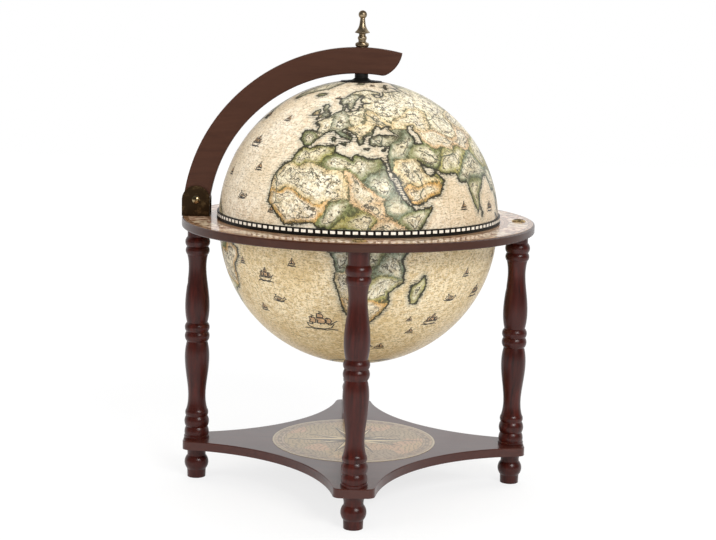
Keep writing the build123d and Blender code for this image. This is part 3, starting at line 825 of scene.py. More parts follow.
@dataclass(frozen=True)
class ShelfPaper:
    """The printed disc on the shelf: a compass rose inside two rings of borders."""

    name: str = "shelf_paper"
    rose_r: float = 84.4
    edge_r: float = 95.6
    rules: tuple[float, ...] = (12.0, 14.0, 84.2, 87.4, 91.4, 95.6)

    def material(self) -> bpy.types.Material:
        """Make the disc: mottled washes and scrollwork, two stars, borders and a scale.

        Returns:
            The material.
        """
        g = Graph(self.name)
        radius, angle = g.polar()
        sector = g.cells(g.wobble(g.place(), 30.0, 12 * MM), 22.0).outputs["Color"]
        tints = g.ramp(
            g.red(sector), (0.2, shade(208, 162, 118)), (0.45, shade(180, 158, 104)),
            (0.7, shade(152, 132, 102)), (0.9, shade(204, 170, 116)),
        )
        middle = g.smooth(radius, self.rose_r, self.rose_r - 0.4)
        colour = g.paint(SHELF_PAPER.tone(g, g.place()), tints, middle, 0.55)
        swirl = g.wave("BANDS", g.wobble(g.place(), 40.0, 14 * MM), 55.0)
        colour = g.paint(colour, shade(92, 76, 52), g.smooth(swirl, 0.72, 0.92), middle, 0.5)
        for shift, pitch, tip, half, tone in (
            (22.5, 45.0, 58.0, 8.0, shade(104, 86, 58)),
            (0.0, 90.0, 80.0, 10.0, shade(70, 56, 38)),
        ):
            turn = g.repeat(g.plus(angle, shift), pitch)
            colour = self.star(g, colour, radius, turn, tip, half, tone)
        scale = g.times(g.band(radius, 87.6, 91.2, 0.3), g.chequer(angle, 10.0), 0.75)
        dark = g.most(scale, g.circles(radius, self.rules, 0.25, 0.3))
        colour = g.paint(colour, shade(92, 76, 56), dark, 0.75)
        colour = g.mix(g.smooth(radius, self.edge_r, self.edge_r + 0.2), colour, shade(186, 168, 134))
        return varnished(g, colour, 0.55, 0.06)

    def star(
        self, g: Graph, under: Socket, radius: Socket, turn: Socket, tip: float, half: float, tone: Colour
    ) -> Socket:
        """Draw a star whose points are pale on one side and toned on the other.

        A point's half width falls linearly from its base to its tip, so a place is inside it
        where its sideways distance is under half * (1 - radius / tip).

        Args:
            g: The graph it is drawn in.
            under: The colour below.
            radius: The distance from the middle, in millimetres.
            turn: The angle from the nearest point's axis, in degrees.
            tip: The tips' radius, in millimetres.
            half: A point's half width at its base, in millimetres.
            tone: The toned side's colour.

        Returns:
            The colour with the star on it.
        """
        side = g.times(radius, g.math("SINE", g.times(turn, 1 / DEGREES)))
        depth = g.minus(g.scaled(radius, -half / tip, half), g.span(side))
        point = g.mix(g.math("GREATER_THAN", side, 0.0), shade(226, 204, 158), tone)
        colour = g.paint(under, point, g.smooth(depth, -0.15, 0.15), 0.9)
        return g.paint(colour, shade(60, 46, 32), g.line(depth, 0.5, 0.4), 0.85)


@dataclass(frozen=True)
class InkFinish:
    """Printing ink of one tone, worn paler in places."""

    name: str
    tone: Colour

    def material(self) -> bpy.types.Material:
        """Make the ink, paler in small patches.

        Returns:
            The material.
        """
        g = Graph(self.name)
        worn = g.smooth(g.noise(g.place(), 500.0, 3.0), 0.5, 0.75)
        pale = tuple(min(1.0, 2.1 * part + 0.03) for part in self.tone)
        return g.surface(g.mix(worn, self.tone, pale), 0.42)


ALONG_X = (0.5, 6.0, 6.0)
ALONG_Z = (6.0, 6.0, 0.5)
LEG_SHADES = (shade(26, 8, 6), shade(58, 19, 13), shade(84, 28, 19))
BOARD_SHADES = (shade(58, 33, 23), shade(67, 40, 28), shade(74, 45, 32))
RING_SHADES = (shade(50, 24, 13), shade(59, 29, 16), shade(70, 37, 22))
SHELF_SHADES = (shade(52, 22, 16), shade(68, 32, 24), shade(84, 42, 32))
RACK_SHADES = (shade(70, 40, 26), shade(104, 64, 42), shade(132, 86, 58))
FINISHES: dict[str, object] = {
    "leg": Stain("leg_lacquer", *LEG_SHADES, ALONG_Z, gloss=0.34, coat=0.46, shine=0.15, coat_blur=0.24),
    "board_x": Stain("board_stain", *BOARD_SHADES, ALONG_X, gloss=0.42, coat=0.08, shine=0.18),
    "ring": Stain("ring_stain", *RING_SHADES, ALONG_X, gloss=0.3, coat=0.36, shine=0.2),
    "shelf": Stain("shelf_stain", *SHELF_SHADES, ALONG_X, gloss=0.3, coat=0.5, shine=0.26),
    "rack": Stain("rack_stain", *RACK_SHADES, ALONG_X, gloss=0.45, coat=0.2),
    "dark_brass": Brass("dark_brass", shade(120, 98, 68), shade(62, 48, 33), 0.48, 0.36),
    "bolt_brass": Brass("bolt_brass", shade(206, 188, 150), shade(120, 98, 66), 0.3, 0.16),
    "old_brass": Brass("old_brass", shade(170, 152, 124), shade(112, 95, 72), 0.34, 0.38, 0.0),
    "cap_brass": CapBrass(),
    "bush": Brass("bush_brass", shade(206, 176, 112), shade(150, 122, 70), 0.3, 0.24),
    "black": Plain("black_trim", shade(22, 20, 17), 0.5),
    "steel": Plain("zinc_steel", shade(176, 178, 180), 0.3, 1.0),
    "nylon": Plain("nylon", shade(214, 212, 204), 0.5),
    "lining": Plain("globe_lining", shade(74, 48, 36), 0.6),
    "band": EquatorBand(),
    "ring_paper": RingPaper(),
    "shelf_paper": ShelfPaper(),
    "ink": InkFinish("map_ink", shade(36, 28, 18)),
    "sail_ink": InkFinish("sail_ink", shade(176, 142, 102)),
}


@cache
def finish(name: str) -> bpy.types.Material:
    """Return a finish's material, made once."""
    return FINISHES[name].material()


def dress(material: bpy.types.Material, *nodes: str) -> None:
    """Give CAD nodes a material in every slot they have.

    Args:
        material: The material.
        *nodes: The nodes' names.
    """
    for node in nodes:
        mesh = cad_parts[node].data
        if not mesh.materials:
            mesh.materials.append(material)
        for index in range(len(mesh.materials)):
            mesh.materials[index] = material


# ---------------------------------------------------------------- surfaces


def mesh_object(
    name: str, points: np.ndarray, faces: list, materials: list[bpy.types.Material]
) -> bpy.types.Object:
    """Make a smooth mesh object.

    Args:
        name: Its name.
        points: Its points, of shape (n, 3).
        faces: Its faces, one by one or as arrays of them.
        materials: Its materials.

    Returns:
        The linked object.
    """
    mesh = bpy.data.meshes.new(name)
    if isinstance(faces[0], np.ndarray):
        faces = [face for group in faces for face in group.tolist()]
    mesh.from_pydata(points.tolist(), [], faces)
    mesh.polygons.foreach_set("use_smooth", np.ones(len(mesh.polygons), bool))
    for material in materials:
        mesh.materials.append(material)
    mesh.update()
    made = bpy.data.objects.new(name, mesh)
    bpy.context.scene.collection.objects.link(made)
    return made


def unit(longitude: np.ndarray, latitude: np.ndarray) -> np.ndarray:
    """Return directions from the globe's centre, with FACING_LONGITUDE towards -Y and east to +X.

    A direction is (cos lat sin lon, -cos lat cos lon, sin lat), lon counted from that meridian.

    Args:
        longitude: Degrees east.
        latitude: Degrees north.

    Returns:
        Directions, with a last axis of three.
    """
    lon = np.radians(np.asarray(longitude, float) - FACING_LONGITUDE)
    lat = np.radians(np.asarray(latitude, float))
    return np.stack([np.cos(lat) * np.sin(lon), -np.cos(lat) * np.cos(lon), np.sin(lat)], axis=-1)


# ---------------------------------------------------------------- the map

Outline = tuple[tuple[float, float], ...]

AFRICA: Outline = (
    (-17, 21), (-16.5, 15), (-17, 12.5), (-13, 9), (-8, 4.5), (-2, 5), (4, 6.4), (6, 4.3), (9, 4),
    (9.7, 1), (9, -1), (12, -5), (13.5, -9), (12.5, -14), (14.5, -22), (15.3, -27), (18, -33),
    (20, -34.8), (25, -34), (28, -33), (32.5, -28.5), (35.3, -24), (35, -20), (40.5, -15.5),
    (40, -10.5), (39, -6), (41.5, -2), (46, 2.5), (51, 10.5), (51, 12), (44, 10.8), (43, 12.5),
    (39.5, 15.5), (37, 20), (35, 24), (32.5, 30), (31, 31.5), (25, 31.8), (20, 32.5), (19, 30.3),
    (15, 32.3), (10.5, 34), (10.5, 37), (3, 36.8), (-2, 35.2), (-6, 35.8), (-9.5, 31.5), (-10, 29),
    (-13, 27.7), (-16, 23.7),
)
EURASIA: Outline = (
    (-9, 38.7), (-9, 43.2), (-1.5, 43.5), (-1.2, 46), (-4.7, 48.4), (-1.5, 49.7), (2, 51), (4.5, 53),
    (8.5, 53.8), (8.2, 57), (10.5, 57.6), (10.5, 54.3), (14, 54), (18.5, 54.8), (21, 55.3),
    (21.5, 57.5), (24, 57.2), (23.5, 59.2), (29.5, 60), (22.5, 60.2), (21.3, 62), (25.3, 65),
    (22, 65.8), (17.5, 62), (17, 60.5), (16.5, 57), (14.3, 55.6), (12.8, 56), (11, 59), (8, 58.2),
    (5.3, 59.5), (5, 62), (11, 64.5), (14.5, 68), (20, 70), (27, 71), (31, 70.3), (41, 67.5),
    (40, 66.3), (33, 66.7), (35, 64.3), (38, 64), (44, 66.2), (44, 68.5), (54, 68.5), (60, 69.5),
    (68, 69), (67, 73), (73, 71.5), (73.5, 67), (75, 72), (81, 73.5), (88, 75.5), (104, 77.6),
    (113, 73.8), (127, 73), (140, 72.5), (160, 70), (178, 69), (190, 66), (180, 62.5), (170, 60),
    (163, 60), (162, 55), (157, 51.2), (156, 57), (160, 61), (155, 59.3), (143, 59.3), (135.5, 54.7),
    (140, 53), (140.5, 48), (135, 43.5), (130.5, 42.3), (127.5, 39.7), (129.3, 36), (126.5, 34.5),
    (126.5, 37.5), (122, 40), (118, 39), (122.3, 37), (119.3, 35), (121.8, 31.5), (121, 28),
    (117, 23.5), (110.5, 21), (108, 21.5), (105.8, 19), (109, 13), (107, 10.5), (105, 8.7),
    (102.5, 12), (101, 13.3), (99.5, 10), (101.5, 6.5), (103.5, 1.5), (100.5, 5), (98.3, 8.5),
    (98, 16), (94.5, 16), (92, 22), (88, 21.7), (82, 16.5), (80.3, 15), (80, 11), (77.7, 8.1),
    (74, 15), (72.7, 21), (69, 21.5), (67, 24.8), (61, 25.2), (57, 26.8), (51.5, 28), (48.5, 30),
    (51, 25), (54, 24), (56.3, 26), (59.5, 22.5), (55.5, 17.3), (45, 12.9), (43, 13.5), (39, 21),
    (35, 28), (34.5, 31.5), (36, 36.5), (30.5, 36.6), (27, 37), (26.5, 40), (30, 41.2), (36, 41.3),
    (41.5, 41.8), (37.5, 44.7), (38.5, 47), (35, 46), (33.5, 44.7), (31, 46.6), (28.5, 43.5),
    (28.5, 41.3), (23.5, 40.5), (23.8, 38), (22.5, 36.6), (21, 38.5), (19.5, 41.5), (14, 45.3),
    (12.5, 44.5), (16, 42), (18.3, 40.2), (16.5, 38.2), (15.5, 40), (12, 42), (8.8, 44.4),
    (3.5, 43.4), (3, 42), (-0.5, 39.5), (-2, 36.8), (-5.5, 36.1),
)
NORTH_AMERICA: Outline = (
    (-77, 8), (-83.5, 9), (-87.5, 13), (-95, 16), (-105.5, 20.5), (-109.5, 25.5), (-114.5, 31),
    (-110, 23.2), (-116, 30.5), (-121, 34.8), (-124.3, 40.4), (-124.5, 48), (-131, 54.5),
    (-140, 59.8), (-152, 60), (-163, 55), (-158, 58.7), (-165.5, 62), (-161.5, 66), (-167, 68.5),
    (-156.5, 71.3), (-141, 69.7), (-128, 70.3), (-115, 68.2), (-108, 68), (-96, 68), (-94, 72),
    (-82, 69.5), (-87, 66.5), (-94, 61), (-92.5, 57), (-82.5, 55), (-79, 51.5), (-79, 55),
    (-77, 60), (-77.5, 62.5), (-70, 61.5), (-64.5, 60.3), (-61, 56.5), (-55.7, 52), (-66, 50.2),
    (-65, 47), (-61, 45.5), (-66, 43.7), (-70.3, 43.3), (-70, 41.7), (-74, 40.6), (-75.5, 35.3),
    (-81, 31.5), (-80.3, 26), (-82.8, 28.5), (-84, 30), (-90, 29.3), (-97, 28), (-97.5, 22),
    (-95.5, 18.7), (-91, 18.7), (-87, 21.4), (-88.5, 16), (-83.3, 15), (-83.5, 10.5), (-79.5, 9.5),
)
SOUTH_AMERICA: Outline = (
    (-77, 8), (-72, 12), (-61.5, 10.5), (-51, 4), (-49, 0), (-44, -2.5), (-35, -6), (-35, -9),
    (-39, -13), (-39.5, -19), (-42, -23), (-48.5, -26), (-50, -30), (-54, -34.5), (-57, -36.5),
    (-62, -39), (-65, -42), (-66, -47), (-69, -51), (-67, -55), (-73, -53), (-75.5, -47),
    (-73.5, -40), (-71.5, -31), (-70.3, -19), (-76, -14), (-81, -6), (-80, -2), (-78.5, 1.5),
)
AUSTRALIA: Outline = (
    (114, -22), (122, -18), (126, -14), (130, -12.5), (136.8, -12.2), (135.5, -15), (140.8, -17.5),
    (142.5, -10.8), (146, -19), (153, -25.5), (150, -37.3), (143.5, -38.8), (138, -33.5),
    (135, -34.8), (129, -31.7), (123.5, -34), (115, -34.3), (113.5, -26),
)
GREENLAND: Outline = (
    (-43, 60), (-40, 64), (-32, 68), (-22, 70.5), (-19, 76), (-17, 80.5), (-32, 83.5), (-58, 82),
    (-68, 79), (-68, 76), (-58, 75.5), (-53, 70.5), (-53, 66.5), (-49, 61.5),
)
ISLANDS: tuple[Outline, ...] = (
    ((49.3, -12), (50.3, -15.7), (49, -19), (47, -25), (44.5, -25), (43.5, -22), (44.3, -17), (47, -15)),
    ((-5.5, 50), (1.3, 51.2), (1.7, 52.7), (0, 53.6), (-2, 56), (-2, 57.6), (-3.3, 58.6), (-6, 57.8),
     (-5, 55), (-3, 54), (-4.5, 53), (-5, 51.7)),
    ((-6, 52.2), (-10, 51.7), (-9.8, 54), (-7, 55.3), (-5.7, 54.3)),
    ((-22.5, 64), (-18.5, 63.4), (-13.7, 65), (-16, 66.4), (-22, 66.2), (-24, 65.2)),
    ((52, 71), (56, 73.3), (68, 76.7), (60, 76), (54, 73)),
    ((12, 78), (20, 77), (27, 80), (15, 80)),
    ((130.5, 31.3), (135.5, 33.7), (140.5, 35.5), (142, 39.5), (141.5, 43), (145, 43.5), (141.7, 45.3),
     (140, 42), (139.5, 38.3), (136.5, 36.5), (132, 34.8)),
    ((95.5, 5.5), (98.5, 4), (103, 0), (106, -3.5), (105, -5.8), (102, -4), (98.5, 1)),
    ((109, 1.5), (113, 3.3), (117, 6.8), (119, 5), (117.5, 1), (116, -3.8), (110.5, -3)),
    ((105.3, -6.8), (108.5, -6.8), (114.3, -8), (114, -8.6), (106, -7.5)),
    ((119.5, -3), (120, 0.5), (125, 1.3), (121.5, -1), (123, -4.5), (120.3, -5.5)),
    ((131, -0.8), (137.5, -1.6), (145, -4.3), (150.5, -10.5), (144, -7.8), (138.5, -8.3), (133, -4)),
    ((80, 9.5), (81.8, 7.5), (80.5, 6)),
    ((120.5, 18.5), (122, 18.3), (121.8, 14), (126, 8), (125.5, 6), (122, 8), (120, 13.5)),
    ((120, 23), (121.5, 25), (121, 22)),
    ((172.7, -34.5), (178.4, -37.7), (175, -41.5), (171, -44.5), (168.5, -46.6), (166.5, -46),
     (172.5, -40.7), (174.7, -38)),
    ((144.7, -40.8), (148.2, -40.9), (147, -43.5)),
    ((-80, 73.5), (-70, 71), (-61.5, 66.5), (-66, 63), (-74, 65), (-73, 68.5), (-88, 73)),
    ((-90, 77), (-75, 79), (-62, 82.5), (-85, 82.5), (-94, 80)),
    ((-117, 70), (-104, 69.5), (-106, 73), (-116, 73)),
    ((-59, 47.7), (-53, 47), (-55.5, 51.5)),
    ((-84.5, 22), (-77.5, 20.3), (-74.3, 20.2), (-80, 23.1)),
    ((-74, 18.5), (-68.5, 18.4), (-72, 19.9)),
    ((8.5, 39), (9.7, 39.5), (9.5, 43), (8.5, 41)),
    ((12.5, 38), (15.3, 38.2), (15, 36.7)),
    ((23.5, 35.4), (26.3, 35.2), (24.5, 34.9)),
    ((32.4, 35), (34.5, 35.6), (33.5, 34.6)),
)
LAKES: tuple[Outline, ...] = (
    ((49, 46.5), (53, 46.8), (51, 44.3), (53.5, 41), (54, 37.3), (50, 37.4), (49.5, 40.3), (47.5, 43)),
    ((31.8, 0.3), (34, 0.2), (33.8, -2.3), (31.9, -2.5)),
    ((-92, 47), (-84.5, 46.5), (-88, 48.8)),
    ((-87.5, 42), (-86, 44.5), (-88, 45)),
)
SOUTHERN_COAST_LATITUDE = -69.0


class Wash(Enum):
    """The colours washed over the map's regions, as multipliers of the paper."""

    GREEN = shade(140, 152, 112)
    OLIVE = shade(176, 176, 118)
    TEAL = shade(134, 152, 140)
    OCHRE = shade(226, 186, 122)
    CREAM = shade(240, 226, 198)
    PALE = shade(246, 242, 230)
    ROSE = shade(232, 206, 178)
    GREY = shade(178, 184, 176)


REGIONS: tuple[tuple[float, float, Wash], ...] = (
    (-8, 32, Wash.OLIVE), (3, 33, Wash.OLIVE), (14, 29, Wash.GREEN), (25, 28, Wash.GREEN),
    (32, 25, Wash.TEAL), (-12, 24, Wash.CREAM), (0, 23, Wash.CREAM), (12, 20, Wash.CREAM),
    (22, 20, Wash.ROSE), (-11, 13, Wash.OCHRE), (0, 11, Wash.OCHRE), (12, 9, Wash.GREEN),
    (20, 7, Wash.OLIVE), (29, 12, Wash.ROSE), (36, 13, Wash.TEAL), (44, 6, Wash.GREEN),
    (33, 3, Wash.ROSE), (18, -4, Wash.TEAL), (27, -6, Wash.GREEN), (36, -8, Wash.TEAL),
    (19, -15, Wash.CREAM), (29, -19, Wash.OLIVE), (22, -28, Wash.OCHRE), (47, -19, Wash.OLIVE),
    (-4, 40, Wash.GREEN), (2, 47, Wash.PALE), (11, 49, Wash.GREY), (13, 43, Wash.TEAL),
    (22, 43, Wash.CREAM), (22, 52, Wash.PALE), (31, 51, Wash.CREAM), (40, 56, Wash.PALE),
    (12, 62, Wash.GREY), (26, 66, Wash.PALE), (-3, 55, Wash.GREY), (-8, 53, Wash.CREAM),
    (-18, 65, Wash.GREEN), (33, 39, Wash.GREY), (43, 36, Wash.TEAL), (44, 25, Wash.CREAM),
    (49, 17, Wash.OCHRE), (55, 33, Wash.GREEN), (62, 40, Wash.ROSE), (66, 30, Wash.OLIVE),
    (76, 25, Wash.TEAL), (78, 14, Wash.GREEN), (56, 51, Wash.CREAM), (72, 48, Wash.PALE),
    (62, 62, Wash.PALE), (85, 60, Wash.PALE), (88, 40, Wash.ROSE), (102, 32, Wash.OLIVE),
    (115, 28, Wash.GREEN), (105, 47, Wash.CREAM), (100, 17, Wash.TEAL), (128, 48, Wash.CREAM),
    (138, 62, Wash.GREY), (112, 62, Wash.GREY), (138, 37, Wash.GREEN), (113, 0, Wash.OCHRE),
    (122, -25, Wash.OLIVE), (140, -26, Wash.CREAM), (147, -34, Wash.GREEN), (-60, -5, Wash.GREEN),
    (-48, -12, Wash.OCHRE), (-70, -15, Wash.TEAL), (-62, -28, Wash.OLIVE), (-68, -42, Wash.ROSE),
    (-70, 4, Wash.CREAM), (-100, 22, Wash.OCHRE), (-88, 15, Wash.GREEN), (-84, 34, Wash.GREEN),
    (-100, 38, Wash.CREAM), (-115, 42, Wash.OLIVE), (-75, 45, Wash.TEAL), (-95, 55, Wash.ROSE),
    (-120, 58, Wash.GREEN), (-150, 65, Wash.GREY), (-70, 55, Wash.OLIVE), (-42, 72, Wash.GREY),
    (0, -80, Wash.CREAM), (172, -42, Wash.GREEN), (144, -6, Wash.OLIVE),
)


def drift(points: np.ndarray, amount: float) -> np.ndarray:
    """Nudge directions by fixed waves, so that straight outlines turn ragged.

    Each axis moves by a sum of sines of the direction dotted with seeded wave vectors.

    Args:
        points: Directions of shape (n, 3).
        amount: The height of the longest waves, on the unit sphere.

    Returns:
        The nudged directions.
    """
    rng = np.random.default_rng(7)
    moved = points.copy()
    for waves, share in ((14.0, 1.0), (30.0, 0.6), (58.0, 0.38)):
        for axis in range(3):
            way = rng.normal(size=(3, 3))
            way *= waves / np.linalg.norm(way, axis=1, keepdims=True)
            moved[:, axis] += amount * share * np.sin(points @ way.T + rng.uniform(0, 6.28, 3)).mean(1)
    return moved / np.linalg.norm(moved, axis=1, keepdims=True)


def coast_distance(points: np.ndarray, outline: Outline, batch: int = 20000) -> np.ndarray:
    """Measure how far points are from an outline's nearest edge.

    Each edge is a chord. The nearest place on it is the point's projection, kept between its
    ends, and the squared distance there is |p - start|^2 - 2 * along * run.(p - start)
    + along^2 * |run|^2.

    Args:
        points: Directions of shape (n, 3).
        outline: The outline's corners.
        batch: The number of points worked on at once.

    Returns:
        Distances on the unit sphere.
    """
    corners = np.array(outline, float)
    start = unit(corners[:, 0], corners[:, 1])
    run = np.roll(start, -1, axis=0) - start
    length2 = (run**2).sum(1)
    nearest = np.empty(len(points))
    for first in range(0, len(points), batch):
        some = points[first : first + batch]
        reach = some @ run.T - (start * run).sum(1)
        along = np.clip(reach / length2, 0, 1)
        gap2 = 2 - 2 * (some @ start.T) - 2 * along * reach
        gap2 += along**2 * length2
        nearest[first : first + batch] = np.sqrt(np.maximum(gap2.min(1), 0))
    return nearest


def inside(longitude: np.ndarray, latitude: np.ndarray, outline: Outline) -> np.ndarray:
    """Tell which places lie inside an outline, by counting the edges to their east.

    Args:
        longitude: Degrees east, from -180 to 180.
        latitude: Degrees north.
        outline: The outline's corners, which may pass 180 degrees.

    Returns:
        Whether each place is inside.
    """
    found = np.zeros(len(longitude), bool)
    ends = np.roll(np.array(outline, float), -1, axis=0)
    for shift in (0.0, 360.0):
        lon = longitude + shift
        for (x0, y0), (x1, y1) in zip(outline, ends):
            if y0 == y1:
                continue
            spans = (y0 > latitude) != (y1 > latitude)
            found ^= spans & (lon < (x1 - x0) * (latitude - y0) / (y1 - y0) + x0)
    return found


@dataclass(frozen=True)
class WorldMap:
    """Signed coast distances and region washes, worked out at given directions."""

    radius_mm: float
    raggedness: float = 0.011
    region_raggedness: float = 0.045
    flattening: tuple[float, float, float] = (0.72, 0.72, 1.25)

    def land(self, points: np.ndarray) -> np.ndarray:
        """Measure the distance from the coast, positive on land.

        An outline's distance is signed by whether the point is inside. Land is the greatest of
        them, lakes cut into it, and a southern coast of two sine waves is joined to it.

        Args:
            points: Directions of shape (n, 3).

        Returns:
            Distances on the unit sphere.
        """
        ragged = drift(points, self.raggedness)
        latitude = np.degrees(np.arcsin(np.clip(ragged[:, 2], -1, 1)))
        longitude = np.degrees(np.arctan2(ragged[:, 0], -ragged[:, 1])) + FACING_LONGITUDE
        longitude = (longitude + 180) % 360 - 180
        land = np.full(len(points), -10.0)
        for outline in (AFRICA, EURASIA, NORTH_AMERICA, SOUTH_AMERICA, AUSTRALIA, GREENLAND, *ISLANDS):
            gap = coast_distance(ragged, outline)
            land = np.maximum(land, np.where(inside(longitude, latitude, outline), gap, -gap))
        for outline in LAKES:
            gap = coast_distance(ragged, outline)
            land = np.minimum(land, np.where(inside(longitude, latitude, outline), -gap, gap))
        bays = 4 * np.sin(np.radians(3 * longitude)) + 2 * np.sin(np.radians(7 * longitude + 40))
        return np.maximum(land, np.radians(SOUTHERN_COAST_LATITUDE + bays - latitude))

    def fields(self, points: np.ndarray) -> tuple[np.ndarray, np.ndarray, np.ndarray]:
        """Work out the map at each direction.

        Regions are seeds, so a place takes the wash of the nearest one. Its border distance is half
        the difference between the distances to the two nearest washes.

        Args:
            points: Directions of shape (n, 3).

        Returns:
            The distance from the coast and from the nearest border, in millimetres, and washes.
        """
        land = self.land(points)
        seeds = np.array([region[:2] for region in REGIONS], float)
        twisted = drift(points, self.region_raggedness)
        here, there = twisted * self.flattening, unit(seeds[:, 0], seeds[:, 1]) * self.flattening
        gap2 = (here**2).sum(1)[:, None] + (there**2).sum(1) - 2 * here @ there.T
        gaps = np.sqrt(np.maximum(gap2, 0))
        kinds = list(Wash)
        kind = np.array([kinds.index(region[2]) for region in REGIONS])
        nearest_of = np.stack([gaps[:, kind == k].min(1) for k in range(len(kinds))], axis=1)
        order = np.argsort(nearest_of, axis=1)[:, :2]
        pair = np.take_along_axis(nearest_of, order, axis=1)
        washes = np.array([wash.value for wash in kinds])[order[:, 0]]
        border = 0.5 * (pair[:, 1] - pair[:, 0])
        return land * self.radius_mm, border * self.radius_mm, washes


@dataclass(frozen=True)
class PrintedHalf:
    """The printed skin of one half of the globe, just proud of its shell."""

    name: str
    body: str
    slot: str
    centre_z: float
    shell_r: float
    low_z: float
    high_z: float
    paper: Paper
    proud: float = 0.12 * MM
    columns: int = 600
    rows: int = 138
    pole_gap: float = 0.004  # radians between the pole's point and the first row

    def build(self) -> None:
        """Make the skin: circles of the sphere between two heights, with the map's attributes.

        A row's latitude is spaced evenly between the heights' arcsines, and a bowl that reaches
        the pole closes on one point there.
        """
        radius = self.shell_r + self.proud
        low = math.asin(max(-1.0, (self.low_z - self.centre_z) / radius))
        high = math.asin(min(1.0, (self.high_z - self.centre_z) / radius))
        reaches_pole = low < -math.pi / 2 + 1e-6
        lat = np.linspace(low + (self.pole_gap if reaches_pole else 0.0), high, self.rows)
        lon = np.linspace(0, 2 * math.pi, self.columns, endpoint=False)
        across, up = np.outer(np.cos(lat), np.sin(lon)), np.outer(np.sin(lat), np.ones_like(lon))
        flat = np.stack([across, -np.outer(np.cos(lat), np.cos(lon)), up], axis=-1).reshape(-1, 3)
        index = np.arange(self.rows * self.columns).reshape(self.rows, self.columns)
        right = np.roll(index, -1, axis=1)
        faces = [np.stack([index[:-1], right[:-1], right[1:], index[1:]], axis=-1).reshape(-1, 4)]
        if reaches_pole:
            flat = np.vstack([flat, [[0, 0, -1]]])
            faces.append(np.stack([right[0], index[0], np.full(self.columns, len(flat) - 1)], axis=-1))
        points = flat * radius + np.array([0, 0, self.centre_z])
        printed = MapPrint(self.name.replace("skin", "print"), self.centre_z, self.shell_r, self.paper)
        made = mesh_object(self.name, points, faces, [printed.material()])
        coast, border, tint = WorldMap(radius / MM).fields(flat)
        mesh = made.data
        mesh.attributes.new("coast", "FLOAT", "POINT").data.foreach_set("value", coast)
        mesh.attributes.new("border", "FLOAT", "POINT").data.foreach_set("value", border)
        rgba = np.hstack([tint, np.ones((len(tint), 1))])
        mesh.attributes.new("tint", "FLOAT_COLOR", "POINT").data.foreach_set("color", rgba.ravel())
        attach(made, self.body)
        LOG.info("%s: %d points", self.name, len(points))


# ---------------------------------------------------------------- drawn motifs


Stroke = tuple[tuple[float, float], ...]


class Motif(Enum):
    """Small engraved figures, as ink strokes and filled sails, in millimetres about their foot."""

    CARRACK = (
        (
            ((-7, 0.6), (-6.4, -1.6), (-3.5, -2.9), (2, -3), (5.6, -2.1), (7.6, 0.9), (5.6, 0.2), (-4.6, 0.1),
             (-7, 0.6)),
            ((-4, 0), (-4, 5.6)), ((0.4, 0), (0.4, 8.2)), ((4.4, 0), (4.4, 5.4)), ((5.8, 0.6), (9.6, 3)),
            ((-9, -3.6), (-6, -3), (-3, -3.8), (0, -3.2), (3, -3.9), (6, -3.2), (9, -3.8)),
            ((0.4, 8.2), (2.2, 8.9), (0.4, 9.3)), ((-4, 5.6), (-2.6, 6.2), (-4, 6.5)),
        ),
        (
            ((-5.7, 1.4), (-2.4, 1.2), (-1.7, 3.2), (-2.5, 5), (-5.4, 5), (-4.8, 3.2)),
            ((-1.6, 1.2), (2.5, 1), (3.4, 2.9), (2.4, 4.7), (-1.4, 4.7), (-0.8, 2.9)),
            ((-1.1, 5.1), (2, 5.1), (2.6, 6.3), (1.8, 7.6), (-0.8, 7.6)),
            ((3.2, 1.3), (5.6, 1.2), (6.5, 3), (5.7, 4.7), (3.3, 4.7), (3.8, 3)),
        ),
    )
    SLOOP = (
        (
            ((-4, 0), (-3, -1.6), (2.4, -1.7), (4.2, 0.2), (-4, 0)), ((0, 0), (0, 5.6)),
            ((-5, -2.3), (-2.5, -1.9), (0, -2.5), (2.5, -2), (5, -2.4)), ((0, 5.6), (1.4, 6), (0, 6.3)),
        ),
        (((0.3, 0.6), (3.6, 1), (0.3, 5.2)), ((-0.3, 0.8), (-2.9, 1), (-0.3, 4.4))),
    )
    WHALE = (
        (
            ((-6, 0.4), (-4.4, 2.2), (-1.4, 2.9), (1.8, 2.1), (4.4, 0.4), (6.2, 1.9), (6.8, 3.2), (7.4, 1.4),
             (9, 1.1), (7, 0.2), (4.8, -1.2), (1.4, -1.9), (-3, -1.6), (-6, 0.4)),
            ((-3.4, 3.2), (-3.6, 4.6), (-4.8, 5.2)), ((-3.4, 3.2), (-2.8, 4.8), (-1.8, 5.2)),
            ((-7.6, -1.6), (-4.5, -2.2), (-1.5, -2.6), (2, -2.7), (5.5, -2.1)),
        ),
        (((-3, 0.8), (0.6, 1.4), (2.6, 0.4), (0.4, -0.8), (-2.8, -0.6)),),
    )


